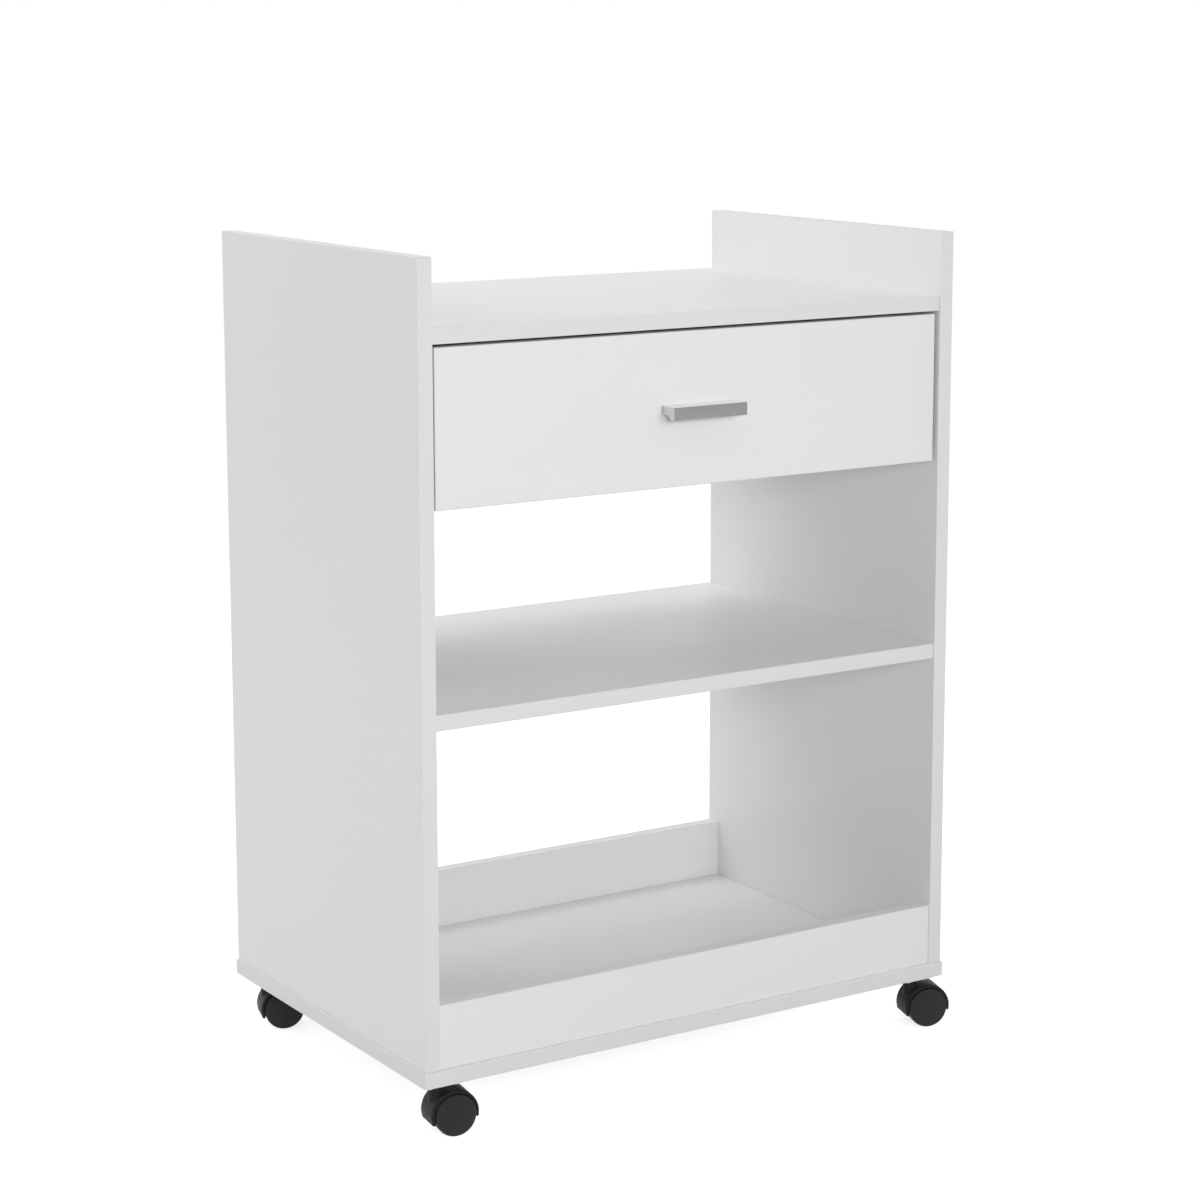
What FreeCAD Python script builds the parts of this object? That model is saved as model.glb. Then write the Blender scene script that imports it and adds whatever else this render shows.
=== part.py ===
import FreeCAD, Part
import math
import os
import Sketcher
from types import SimpleNamespace

# Rolling kitchen stand: a white board carcass with an inset drawer, a middle shelf and a
# lipped bottom tray, on four hooded twin-wheel casters.
# Millimetres. +Z is up, -Y is the drawer side, +X is to the right of someone facing the
# drawer. The origin lies on the floor under the middle of the base board.

SIZES = {
    # carcass boards
    "board_thickness": 15,
    "edge_radius": 0.8,
    "base_width": 600,
    "base_depth": 396,
    "base_side_overhang": 2,
    "base_front_overhang": 1,
    "base_back_overhang": 1,
    "lower_bay_height": 316,
    "upper_bay_height": 184,
    "side_rise": 62,
    "cross_board_front_recess": 2,
    "cross_board_back_recess": 3,
    "lip_height": 61,
    "stretcher_height": 100,
    # drawer front and box
    "drawer_front_height": 145,
    "drawer_front_thickness": 15,
    "drawer_front_recess": 4,
    "drawer_side_gap": 3.5,
    "drawer_top_gap": 3,
    "drawer_board_thickness": 12,
    "drawer_side_height": 110,
    "drawer_back_gap": 7,
    "drawer_side_lift": 12,
    "drawer_bottom_thickness": 3,
    "drawer_groove_height": 12,
    "drawer_groove_depth": 5,
    "groove_fit": 0.1,
    # handle, an extruded aluminium profile
    "handle_length": 82,
    "handle_projection": 21.3,
    "handle_lip_height": 12.3,
    "handle_lip_thickness": 6.2,
    "handle_root_thickness": 8,
    "handle_slope": 4,
    "handle_slope_radius": 3,
    "handle_edge_radius": 0.5,
    "handle_above_front_bottom": 65.3,
    "handle_hole_spacing": 64,
    # dowels, cams, cam bolts and screws
    "dowel_radius": 4,
    "dowel_length": 30,
    "dowel_face_depth": 10,
    "dowel_end_gap": 0.5,
    "dowel_chamfer": 1,
    "bore_fit": 0.1,
    "cam_radius": 7.5,
    "cam_depth": 12,
    "cam_recess_reach": 3.6,
    "cam_recess_width": 1.6,
    "cam_recess_depth": 3,
    "cam_to_board_end": 34,
    "drawer_cam_radius": 6,
    "drawer_cam_depth": 10.2,
    "drawer_cam_to_board_end": 24,
    "drawer_cam_height": 73,
    "drawer_dowel_height": 36,
    "bolt_shank_radius": 3,
    "bolt_head_radius": 3.4,
    "bolt_head_length": 3,
    "bolt_neck_radius": 2,
    "bolt_neck_length": 4,
    "bolt_thread_radius": 2.5,
    "bolt_thread_length": 11,
    "drawer_bolt_thread_length": 10,
    "shelf_cam_inset": 60,
    "shelf_dowel_inset": 110,
    "lip_cam_height": 41,
    "lip_dowel_height": 18,
    "lip_base_dowel_inset": 140,
    "stretcher_cam_height": 68,
    "stretcher_dowel_height": 30,
    "base_dowel_offset": 60,
    "base_screw_offset": 125,
    "base_screw_radius": 3.5,
    "base_screw_length": 50,
    "base_screw_head_radius": 5,
    "base_screw_head_length": 3.5,
    "wood_screw_radius": 1.75,
    "wood_screw_head_radius": 3.4,
    "wood_screw_head_length": 1.6,
    "runner_screw_length": 11,
    "flange_screw_length": 10,
    "caster_screw_length": 13,
    "drawer_back_screw_length": 30,
    "drawer_back_screw_inset": 22,
    "drawer_bottom_screw_length": 14,
    "drawer_bottom_screw_inset": 78.5,
    "handle_screw_radius": 2,
    "handle_screw_grip": 8,
    "handle_screw_head_radius": 4,
    "handle_screw_head_length": 2.2,
    # roller runners
    "runner_space": 12.5,
    "runner_steel": 1.2,
    "runner_front_gap": 2,
    "runner_back_gap": 5,
    "runner_end_gap": 0.5,
    "cabinet_flange_width": 8.8,
    "cabinet_top_flange_width": 5,
    "drawer_flange_width": 7.8,
    "drawer_foot_width": 12,
    "flange_gap": 0.8,
    "roller_radius": 8,
    "roller_width": 6.4,
    "roller_side_gap": 0.4,
    "roller_track_gap": 0.3,
    "roller_top_gap": 0.5,
    "roller_edge_radius": 0.6,
    "roller_end_inset": 11,
    "pin_radius": 2.5,
    "pin_fit": 0.05,
    "pin_head_radius": 4,
    "pin_head_length": 0.8,
    "pin_head_gap": 0.3,
    "runner_screw_front": 46,
    "runner_screw_back": 48,
    # casters
    "caster_inset": 23.4,
    "caster_trail": 14.5,
    "front_left_caster_yaw": -8,
    "front_right_caster_yaw": -17.5,
    "rear_left_caster_yaw": -15.5,
    "rear_right_caster_yaw": -12,
    "wheel_radius": 20,
    "wheel_width": 11.2,
    "wheel_dome": 3.2,
    "wheel_edge_radius": 2,
    "wheel_rim_thickness": 4,
    "wheel_disc_thickness": 3,
    "wheel_hub_radius": 5,
    "wheel_side_gap": 0.3,
    "axle_radius": 2.5,
    "axle_end_gap": 0.5,
    "hood_gap": 1.1,
    "hood_wall": 2.5,
    "hood_width": 29.6,
    "hood_trailing_angle": -12,
    "hood_leading_angle": 201,
    "web_thickness": 11,
    "web_lower_radius": 13,
    "boss_radius": 7,
    "stem_radius": 4,
    "stem_length": 26,
    "stem_end_gap": 0.5,
    "stem_collar_radius": 6.5,
    "stem_collar_thickness": 1.5,
    "swivel_space": 7.4,
    "swivel_gap": 0.3,
    "plate_side": 38,
    "plate_thickness": 2,
    "plate_corner_radius": 3,
    "plate_hole_spacing": 28,
    "plate_hole_radius": 2.25,
}

doc = FreeCAD.newDocument("RollingStand")
sheet = doc.addObject("Spreadsheet::Sheet", "Sizes")
for row, (alias, amount) in enumerate(SIZES.items(), start=1):
    sheet.set(f"A{row}", alias)
    sheet.set(f"B{row}", str(amount))
    sheet.setAlias(f"B{row}", alias)
doc.recompute()


class Size:
    """A number that remembers the spreadsheet formula it comes from."""

    def __init__(self, number, formula):
        self.number = float(number)
        self.formula = formula

    def join(self, sign, other, number):
        return Size(number, f"({self.formula} {sign} {size(other).formula})")

    def __add__(self, other):
        return self.join("+", other, self.number + size(other).number)

    def __sub__(self, other):
        return self.join("-", other, self.number - size(other).number)

    def __mul__(self, other):
        return self.join("*", other, self.number * size(other).number)

    def __truediv__(self, other):
        return self.join("/", other, self.number / size(other).number)

    def __radd__(self, other):
        return size(other) + self

    def __rsub__(self, other):
        return size(other) - self

    def __rmul__(self, other):
        return size(other) * self

    def __neg__(self):
        return size(0) - self


def size(amount):
    """The amount as a Size; a plain number becomes its own formula."""
    return amount if isinstance(amount, Size) else Size(amount, repr(float(amount)))


def cosine(degrees):
    return Size(math.cos(math.radians(degrees.number)), f"cos({degrees.formula} * 1deg)")


def sine(degrees):
    return Size(math.sin(math.radians(degrees.number)), f"sin({degrees.formula} * 1deg)")


S = SimpleNamespace(
    **{alias: Size(sheet.get(alias), f"Sizes.{alias}") for alias in SIZES}
)
PARTS = []
NEAR = 1e-6


# ---------------------------------------------------------------- drawing helpers


def bind(target, **sizes):
    """Tie properties of an object to sheet formulas."""
    for name, amount in sizes.items():
        target.setExpression(name, size(amount).formula)


def place(target, at, yaw=None):
    """Tie an object's placement to sheet formulas; yaw turns it about Z."""
    for axis, amount in zip("xyz", at):
        target.setExpression(f"Placement.Base.{axis}", size(amount).formula)
    if yaw is not None:
        target.setExpression("Placement.Rotation.Angle", size(yaw).formula)


def new_body(label, at=(0, 0, 0), yaw=None):
    """A PartDesign body that is one kept sub-part."""
    body = doc.addObject("PartDesign::Body", label)
    body.Label = label
    place(body, at, yaw)
    PARTS.append(body)
    return body


def sketch_on(body, role, offset=0):
    """A sketch on one of the body's own origin planes, offset along the plane's normal."""
    sketch = body.newObject("Sketcher::SketchObject", f"{body.Name}_sketch")
    plane = next(item for item in body.Origin.OriginFeatures if item.Role == role)
    sketch.AttachmentSupport = [(plane, "")]
    sketch.MapMode = "FlatFace"
    sketch.setExpression("AttachmentOffset.Base.z", size(offset).formula)
    return sketch


def fix_point(sketch, element, point, across, up):
    """Hold a point of a sketch element by its two distances from the sketch's origin."""
    for kind, amount in (("DistanceX", size(across)), ("DistanceY", size(up))):
        held = sketch.addConstraint(
            Sketcher.Constraint(kind, -1, 1, element, point, amount.number)
        )
        sketch.setExpression(f"Constraints[{held}]", amount.formula)


def fix_radius(sketch, element, radius):
    held = sketch.addConstraint(Sketcher.Constraint("Radius", element, radius.number))
    sketch.setExpression(f"Constraints[{held}]", radius.formula)


def arc_through(start, middle, end):
    """An arc over three points, stored counter-clockwise as sketches keep it."""
    round_line = Part.Circle(start, middle, end)
    centre = round_line.Center
    first, inner, last = (
        math.atan2(spot.y - centre.y, spot.x - centre.x) for spot in (start, middle, end)
    )
    full_turn = 2 * math.pi
    if (inner - first) % full_turn > (last - first) % full_turn:
        first, last = last, first
    circle = Part.Circle(centre, FreeCAD.Vector(0, 0, 1), round_line.Radius)
    return Part.ArcOfCircle(circle, first, first + (last - first) % full_turn)


def draw_outline(sketch, corners, arcs=None):
    """A closed outline through the corners.

    arcs maps the index of a corner to (radius, middle): the side that starts there is an
    arc of that radius which passes near the point middle.
    """
    arcs = arcs or {}
    first = sketch.GeometryCount
    total = len(corners)
    spots = [FreeCAD.Vector(size(x).number, size(y).number, 0) for x, y in corners]
    for index, start in enumerate(spots):
        end = spots[(index + 1) % total]
        if index in arcs:
            middle = arcs[index][1]
            through = FreeCAD.Vector(size(middle[0]).number, size(middle[1]).number, 0)
            sketch.addGeometry(arc_through(start, through, end), False)
        else:
            sketch.addGeometry(Part.LineSegment(start, end), False)
    ends = {}
    for index in range(total):
        geometry = sketch.Geometry[first + index]
        starts_here = geometry.StartPoint.distanceToPoint(spots[index]) < NEAR
        ends[index] = (1, 2) if starts_here else (2, 1)
    for index, corner in enumerate(corners):
        after = (index + 1) % total
        sketch.addConstraint(
            Sketcher.Constraint("Coincident", first + index, ends[index][1],
                                first + after, ends[after][0])
        )
        fix_point(sketch, first + index, ends[index][0], *corner)
    for index, arc in arcs.items():
        fix_radius(sketch, first + index, size(arc[0]))


def draw_rectangle(sketch, low, high):
    draw_outline(sketch, [low, (high[0], low[1]), high, (low[0], high[1])])


def draw_circles(sketch, centres, radius):
    for centre in centres:
        spot = FreeCAD.Vector(size(centre[0]).number, size(centre[1]).number, 0)
        radius = size(radius)
        circle = sketch.addGeometry(
            Part.Circle(spot, FreeCAD.Vector(0, 0, 1), radius.number), False
        )
        fix_point(sketch, circle, 3, *centre)
        fix_radius(sketch, circle, radius)


def add_pad(sketch, length, reverse=False, midplane=False):
    """Pad along the sketch's normal, against it, or half each way."""
    body = sketch.getParentGeoFeatureGroup()
    pad = body.newObject("PartDesign::Pad", f"{body.Name}_pad")
    pad.Profile = sketch
    pad.Reversed = reverse
    pad.Midplane = midplane
    bind(pad, Length=length)
    doc.recompute()
    return pad


def add_pocket(sketch, depth, reverse=False):
    """Pocket against the sketch's normal, or along it; it must remove something."""
    body = sketch.getParentGeoFeatureGroup()
    before = body.Shape.Volume
    pocket = body.newObject("PartDesign::Pocket", f"{body.Name}_pocket")
    pocket.Profile = sketch
    pocket.Reversed = reverse
    bind(pocket, Length=depth)
    doc.recompute()
    if not body.Shape.Volume < before:
        raise RuntimeError(f"{pocket.Name} removes nothing")
    return pocket


def add_revolution(sketch):
    """A full turn about the sketch's vertical axis."""
    body = sketch.getParentGeoFeatureGroup()
    turned = body.newObject("PartDesign::Revolution", f"{body.Name}_revolution")
    turned.Profile = sketch
    turned.ReferenceAxis = (sketch, ["V_Axis"])
    turned.Angle = 360
    doc.recompute()
    return turned


def round_edges(body, radius, wanted):
    """Fillet every edge of the body's tip that wanted(edge) picks."""
    tip = body.Tip
    names = [f"Edge{index}" for index, edge in enumerate(tip.Shape.Edges, start=1)
             if wanted(edge)]
    fillet = body.newObject("PartDesign::Fillet", f"{body.Name}_fillet")
    fillet.Base = (tip, names)
    bind(fillet, Radius=radius)
    doc.recompute()
    return fillet


# ---------------------------------------------------------------- boards

# Each face of a board: the origin plane its sketches lie on, the side of the box it is on
# (0 low, 1 high) and whether a bore from it runs along the plane's normal.
FACES = {
    "left": ("YZ_Plane", 0, True),
    "right": ("YZ_Plane", 1, False),
    "front": ("XZ_Plane", 0, False),
    "back": ("XZ_Plane", 1, True),
    "bottom": ("XY_Plane", 0, True),
    "top": ("XY_Plane", 1, False),
}
PLANE_AXES = {"YZ_Plane": (1, 2, 0), "XZ_Plane": (0, 2, 1), "XY_Plane": (0, 1, 2)}


class Board:
    """A rectangular board from its low corner, in the stand's frame."""

    def __init__(self, label, low, high, banded=()):
        self.low = low
        self.span = [top - bottom for bottom, top in zip(low, high)]
        self.body = new_body(label, low)
        sketch = sketch_on(self.body, "XY_Plane")
        draw_rectangle(sketch, (0, 0), (self.span[0], self.span[1]))
        add_pad(sketch, self.span[2])
        if banded:
            self.round_band(banded)

    def round_band(self, banded):
        """Round the edges that bound the banded faces."""
        sides = {
            "left": (0, 0), "right": (0, 1), "front": (1, 0),
            "back": (1, 1), "bottom": (2, 0), "top": (2, 1),
        }

        def on_band(edge):
            for face in banded:
                axis, end = sides[face]
                level = self.span[axis].number * end
                if all(abs(vertex.Point[axis] - level) < NEAR for vertex in edge.Vertexes):
                    return True
            return False

        round_edges(self.body, S.edge_radius, on_band)

    def local(self, face, spot):
        """The sketch coordinates of a point of the stand on one of the board's faces."""
        first, second, _ = PLANE_AXES[FACES[face][0]]
        return spot[first] - self.low[first], spot[second] - self.low[second]

    def face_sketch(self, face):
        role, end, _ = FACES[face]
        normal = PLANE_AXES[role][2]
        offset = self.span[normal] * end
        if role == "XZ_Plane":
            offset = -offset
        return sketch_on(self.body, role, offset)

    def bore(self, face, spots, radius, depth):
        """Round bores from one face, at points given in the stand's frame."""
        sketch = self.face_sketch(face)
        draw_circles(sketch, [self.local(face, spot) for spot in spots], radius)
        add_pocket(sketch, depth, FACES[face][2])

    def groove(self, face, low, high, depth):
        """A straight groove in one face, between two points of the stand's frame."""
        sketch = self.face_sketch(face)
        draw_rectangle(sketch, self.local(face, low), self.local(face, high))
        add_pocket(sketch, depth, FACES[face][2])


# ---------------------------------------------------------------- repeated small parts


def turned_shape(label, profile):
    """A hidden turned master: a profile of (radius, height) corners spun about Z."""
    body = doc.addObject("PartDesign::Body", label)
    sketch = sketch_on(body, "XZ_Plane")
    draw_outline(sketch, profile)
    add_revolution(sketch)
    return body


AXIS_TURNS = {
    "up": FreeCAD.Rotation(),
    "down": FreeCAD.Rotation(FreeCAD.Vector(1, 0, 0), 180),
    "right": FreeCAD.Rotation(FreeCAD.Vector(0, 1, 0), 90),
    "left": FreeCAD.Rotation(FreeCAD.Vector(0, 1, 0), -90),
    "front": FreeCAD.Rotation(FreeCAD.Vector(1, 0, 0), 90),
    "back": FreeCAD.Rotation(FreeCAD.Vector(1, 0, 0), -90),
}


def copies(label, master, places):
    """One kept sub-part of equal separate solids: the master's +Z turned to each direction."""
    links = []
    for spot, direction in places:
        link = doc.addObject("App::Link", f"{label}_copy")
        link.LinkedObject = master
        link.Placement = FreeCAD.Placement(FreeCAD.Vector(), AXIS_TURNS[direction])
        place(link, spot)
        links.append(link)
    group = doc.addObject("Part::Compound", label)
    group.Label = label
    group.Links = links
    PARTS.append(group)
    doc.recompute()
    return group


def screw_master(label, radius, length, head_radius, head_length):
    """A pan-head screw: its tip at +Z, the underside of its head at the origin."""
    tip = radius
    return turned_shape(label, [
        (0, -head_length), (head_radius - head_length / 2, -head_length),
        (head_radius, -head_length / 2), (head_radius, 0), (radius, 0),
        (radius, length - tip), (0, length),
    ])


# ---------------------------------------------------------------- where things are

hood_radius = S.wheel_radius + S.hood_gap + S.hood_wall
base_bottom = S.wheel_radius + hood_radius + S.swivel_space + S.plate_thickness
base_top = base_bottom + S.board_thickness
middle_shelf_bottom = base_top + S.lower_bay_height
middle_shelf_top = middle_shelf_bottom + S.board_thickness
drawer_front_bottom = middle_shelf_top + S.upper_bay_height
drawer_front_top = drawer_front_bottom + S.drawer_front_height
top_shelf_bottom = drawer_front_top + S.drawer_top_gap
top_shelf_top = top_shelf_bottom + S.board_thickness
panel_top = top_shelf_top + S.side_rise

base_right = S.base_width / 2
base_back = S.base_depth / 2
outer_right = base_right - S.base_side_overhang
inner_right = outer_right - S.board_thickness
panel_front = S.base_front_overhang - base_back
panel_back = base_back - S.base_back_overhang
cross_front = panel_front + S.cross_board_front_recess
cross_back = panel_back - S.cross_board_back_recess
half_board = S.board_thickness / 2

drawer_face = panel_front + S.drawer_front_recess
drawer_box_front = drawer_face + S.drawer_front_thickness
drawer_box_back = cross_back - S.board_thickness - S.drawer_back_gap
drawer_right = inner_right - S.runner_space
drawer_inner_right = drawer_right - S.drawer_board_thickness
drawer_box_bottom = drawer_front_bottom + S.drawer_side_lift
drawer_box_top = drawer_box_bottom + S.drawer_side_height
groove_bottom = drawer_box_bottom + S.drawer_groove_height
groove_top = groove_bottom + S.drawer_bottom_thickness + 2 * S.groove_fit
front_groove_right = drawer_inner_right + S.drawer_groove_depth

SIDES = {"left": -1, "right": 1}
OPPOSITE = {"left": "right", "right": "left"}


# ---------------------------------------------------------------- carcass boards

base_panel = Board(
    "base_panel",
    (-base_right, -base_back, base_bottom), (base_right, base_back, base_top),
    banded=("left", "right", "front", "back"),
)
side_panels = {
    "left": Board(
        "left_side_panel",
        (-outer_right, panel_front, base_top), (-inner_right, panel_back, panel_top),
        banded=("front", "back", "top"),
    ),
    "right": Board(
        "right_side_panel",
        (inner_right, panel_front, base_top), (outer_right, panel_back, panel_top),
        banded=("front", "back", "top"),
    ),
}
top_shelf = Board(
    "top_shelf",
    (-inner_right, cross_front, top_shelf_bottom), (inner_right, cross_back, top_shelf_top),
    banded=("front", "back"),
)
middle_shelf = Board(
    "middle_shelf",
    (-inner_right, cross_front, middle_shelf_bottom),
    (inner_right, cross_back, middle_shelf_top),
    banded=("front", "back"),
)
front_lip = Board(
    "front_lip",
    (-inner_right, cross_front, base_top),
    (inner_right, cross_front + S.board_thickness, base_top + S.lip_height),
    banded=("top",),
)
rear_lip = Board(
    "rear_lip",
    (-inner_right, cross_back - S.board_thickness, base_top),
    (inner_right, cross_back, base_top + S.lip_height),
    banded=("top",),
)
rear_stretcher = Board(
    "rear_stretcher",
    (-inner_right, cross_back - S.board_thickness, top_shelf_bottom - S.stretcher_height),
    (inner_right, cross_back, top_shelf_bottom),
    banded=("bottom",),
)

# ---------------------------------------------------------------- carcass fittings

lip_front_middle = cross_front + half_board
lip_back_middle = cross_back - half_board
stretcher_bottom = top_shelf_bottom - S.stretcher_height

# Every cross board: its (y, z) cam places, its (y, z) dowel places and its cam face.
CROSS_JOINTS = [
    (
        board,
        [(cross_front + S.shelf_cam_inset, middle), (cross_back - S.shelf_cam_inset, middle)],
        [(cross_front + S.shelf_dowel_inset, middle),
         (cross_back - S.shelf_dowel_inset, middle)],
        "bottom",
    )
    for board, middle in ((top_shelf, top_shelf_bottom + half_board),
                          (middle_shelf, middle_shelf_bottom + half_board))
] + [
    (front_lip, [(lip_front_middle, base_top + S.lip_cam_height)],
     [(lip_front_middle, base_top + S.lip_dowel_height)], "back"),
    (rear_lip, [(lip_back_middle, base_top + S.lip_cam_height)],
     [(lip_back_middle, base_top + S.lip_dowel_height)], "back"),
    (rear_stretcher, [(lip_back_middle, stretcher_bottom + S.stretcher_cam_height)],
     [(lip_back_middle, stretcher_bottom + S.stretcher_dowel_height)], "back"),
]
CAM_DIRECTIONS = {"bottom": "up", "back": "front"}

dowel_bore = S.dowel_radius + S.bore_fit
dowel_end_depth = S.dowel_length - S.dowel_face_depth
bolt_reach = S.cam_to_board_end + S.bolt_head_length / 2

cam_places = []
bolt_places = []
dowel_places = []
for board, cams, dowels, cam_face in CROSS_JOINTS:
    for side, sign in SIDES.items():
        wall = inner_right * sign
        inward = OPPOSITE[side]
        panel = side_panels[side]
        cam_x = wall - sign * S.cam_to_board_end
        cam_spots = []
        for y, z in cams:
            spot = {"bottom": (cam_x, y, z - half_board),
                    "back": (cam_x, y + half_board, z)}[cam_face]
            cam_spots.append(spot)
            cam_places.append((spot, CAM_DIRECTIONS[cam_face]))
            bolt_places.append(((wall, y, z), inward))
        for y, z in dowels:
            start = wall + sign * (S.dowel_face_depth - S.dowel_end_gap)
            dowel_places.append(((start, y, z), inward))
        cam_line = [(wall, y, z) for y, z in cams]
        dowel_line = [(wall, y, z) for y, z in dowels]
        board.bore(side, dowel_line, dowel_bore, dowel_end_depth)
        board.bore(side, cam_line, S.bolt_head_radius + S.bore_fit, bolt_reach)
        board.bore(cam_face, cam_spots, S.cam_radius + S.bore_fit, S.cam_depth + S.bore_fit)
        panel.bore(inward, dowel_line, dowel_bore, S.dowel_face_depth)
        panel.bore(inward, cam_line, S.bolt_thread_radius + S.bore_fit,
                   S.bolt_thread_length + S.bore_fit)

# The side panels and the lips stand on the base board: dowels and screws from below.
base_dowels = []
base_screws = []
for side, sign in SIDES.items():
    middle = sign * (outer_right - half_board)
    panel_dowels = [(middle, sign_y * S.base_dowel_offset, base_top) for sign_y in (-1, 1)]
    panel_screws = [(middle, sign_y * S.base_screw_offset, base_bottom) for sign_y in (-1, 1)]
    base_dowels += panel_dowels
    base_screws += panel_screws
    side_panels[side].bore("bottom", panel_dowels, dowel_bore, dowel_end_depth)
    side_panels[side].bore("bottom", panel_screws, S.base_screw_radius + S.bore_fit,
                           S.base_screw_length - S.board_thickness + S.bore_fit)
for lip, middle in ((front_lip, lip_front_middle), (rear_lip, lip_back_middle)):
    lip_dowels = [(sign * S.lip_base_dowel_inset, middle, base_top) for sign in (-1, 1)]
    base_dowels += lip_dowels
    lip.bore("bottom", lip_dowels, dowel_bore, dowel_end_depth)
base_panel.bore("top", base_dowels, dowel_bore, S.dowel_face_depth)
base_panel.bore("bottom", base_screws, S.base_screw_radius + S.bore_fit, S.board_thickness)
base_panel.bore("bottom", base_screws, S.base_screw_head_radius + S.bore_fit,
                S.base_screw_head_length)
dowel_places += [((x, y, z - S.dowel_face_depth + S.dowel_end_gap), "up")
                 for x, y, z in base_dowels]

dowel_solid = S.dowel_length - 2 * S.dowel_end_gap
dowel_master = turned_shape("dowel_master", [
    (0, 0), (S.dowel_radius - S.dowel_chamfer, 0), (S.dowel_radius, S.dowel_chamfer),
    (S.dowel_radius, dowel_solid - S.dowel_chamfer),
    (S.dowel_radius - S.dowel_chamfer, dowel_solid), (0, dowel_solid),
])
copies("wooden_dowels", dowel_master, dowel_places)


def cam_master(label, radius, depth, bolt_level, passage_plane):
    """A round cam with a cross recess in its face at Z 0 and a passage for the bolt head."""
    body = doc.addObject("PartDesign::Body", label)
    sketch = sketch_on(body, "XY_Plane")
    draw_circles(sketch, [(0, 0)], radius)
    add_pad(sketch, depth)
    half_slot = S.cam_recess_width / 2
    reach = S.cam_recess_reach
    for across, along in ((reach, half_slot), (half_slot, reach)):
        cross = sketch_on(body, "XY_Plane")
        draw_rectangle(cross, (-across, -along), (across, along))
        add_pocket(cross, S.cam_recess_depth, reverse=True)
    passage = sketch_on(body, passage_plane, -radius)
    draw_circles(passage, [(0, bolt_level)], S.bolt_head_radius + S.bore_fit)
    add_pocket(passage, 2 * radius, reverse=True)
    return body


cam = cam_master("cam_master", S.cam_radius, S.cam_depth, half_board, "YZ_Plane")
copies("cam_locks", cam, cam_places)


def bolt_master(label, reach, thread_length):
    """A cam bolt: thread below the origin plane, shank, neck and head above it."""
    head_top = reach + S.bolt_head_length / 2
    head_bottom = head_top - S.bolt_head_length
    neck_bottom = head_bottom - S.bolt_neck_length
    return turned_shape(label, [
        (0, -thread_length), (S.bolt_thread_radius, -thread_length),
        (S.bolt_thread_radius, 0), (S.bolt_shank_radius, 0),
        (S.bolt_shank_radius, neck_bottom), (S.bolt_neck_radius, neck_bottom),
        (S.bolt_neck_radius, head_bottom), (S.bolt_head_radius, head_bottom),
        (S.bolt_head_radius, head_top), (0, head_top),
    ])


carcass_bolt = bolt_master("cam_bolt_master", S.cam_to_board_end, S.bolt_thread_length)
copies("cam_bolts", carcass_bolt, bolt_places)

base_screw_master = turned_shape("base_screw_master", [
    (0, 0), (S.base_screw_head_radius, 0),
    (S.base_screw_head_radius, S.base_screw_head_length),
    (S.base_screw_radius, S.base_screw_head_length),
    (S.base_screw_radius, S.base_screw_length - S.base_screw_radius),
    (0, S.base_screw_length),
])
copies("base_screws", base_screw_master, [(spot, "up") for spot in base_screws])

# ---------------------------------------------------------------- drawer box

front_half_width = inner_right - S.drawer_side_gap
drawer_front = Board(
    "drawer_front",
    (-front_half_width, drawer_face, drawer_front_bottom),
    (front_half_width, drawer_box_front, drawer_front_top),
    banded=("left", "right", "bottom", "top"),
)
drawer_sides = {
    "left": Board(
        "drawer_side_left",
        (-drawer_right, drawer_box_front, drawer_box_bottom),
        (-drawer_inner_right, drawer_box_back, drawer_box_top),
        banded=("top",),
    ),
    "right": Board(
        "drawer_side_right",
        (drawer_inner_right, drawer_box_front, drawer_box_bottom),
        (drawer_right, drawer_box_back, drawer_box_top),
        banded=("top",),
    ),
}
drawer_back_front = drawer_box_back - S.drawer_board_thickness
drawer_back = Board(
    "drawer_back",
    (-drawer_inner_right, drawer_back_front, groove_top),
    (drawer_inner_right, drawer_box_back, drawer_box_top),
    banded=("top",),
)
bottom_half_width = front_groove_right - S.groove_fit
drawer_bottom = Board(
    "drawer_bottom",
    (-bottom_half_width, drawer_box_front - S.drawer_groove_depth + S.groove_fit,
     groove_bottom + S.groove_fit),
    (bottom_half_width, drawer_box_back,
     groove_bottom + S.groove_fit + S.drawer_bottom_thickness),
)
drawer_front.groove(
    "back",
    (-front_groove_right, drawer_box_front, groove_bottom),
    (front_groove_right, drawer_box_front, groove_top),
    S.drawer_groove_depth,
)
for side, sign in SIDES.items():
    drawer_sides[side].groove(
        OPPOSITE[side],
        (sign * drawer_inner_right, drawer_box_front, groove_bottom),
        (sign * drawer_inner_right, drawer_box_back, groove_top),
        S.drawer_groove_depth,
    )

# ---------------------------------------------------------------- drawer fittings

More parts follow.
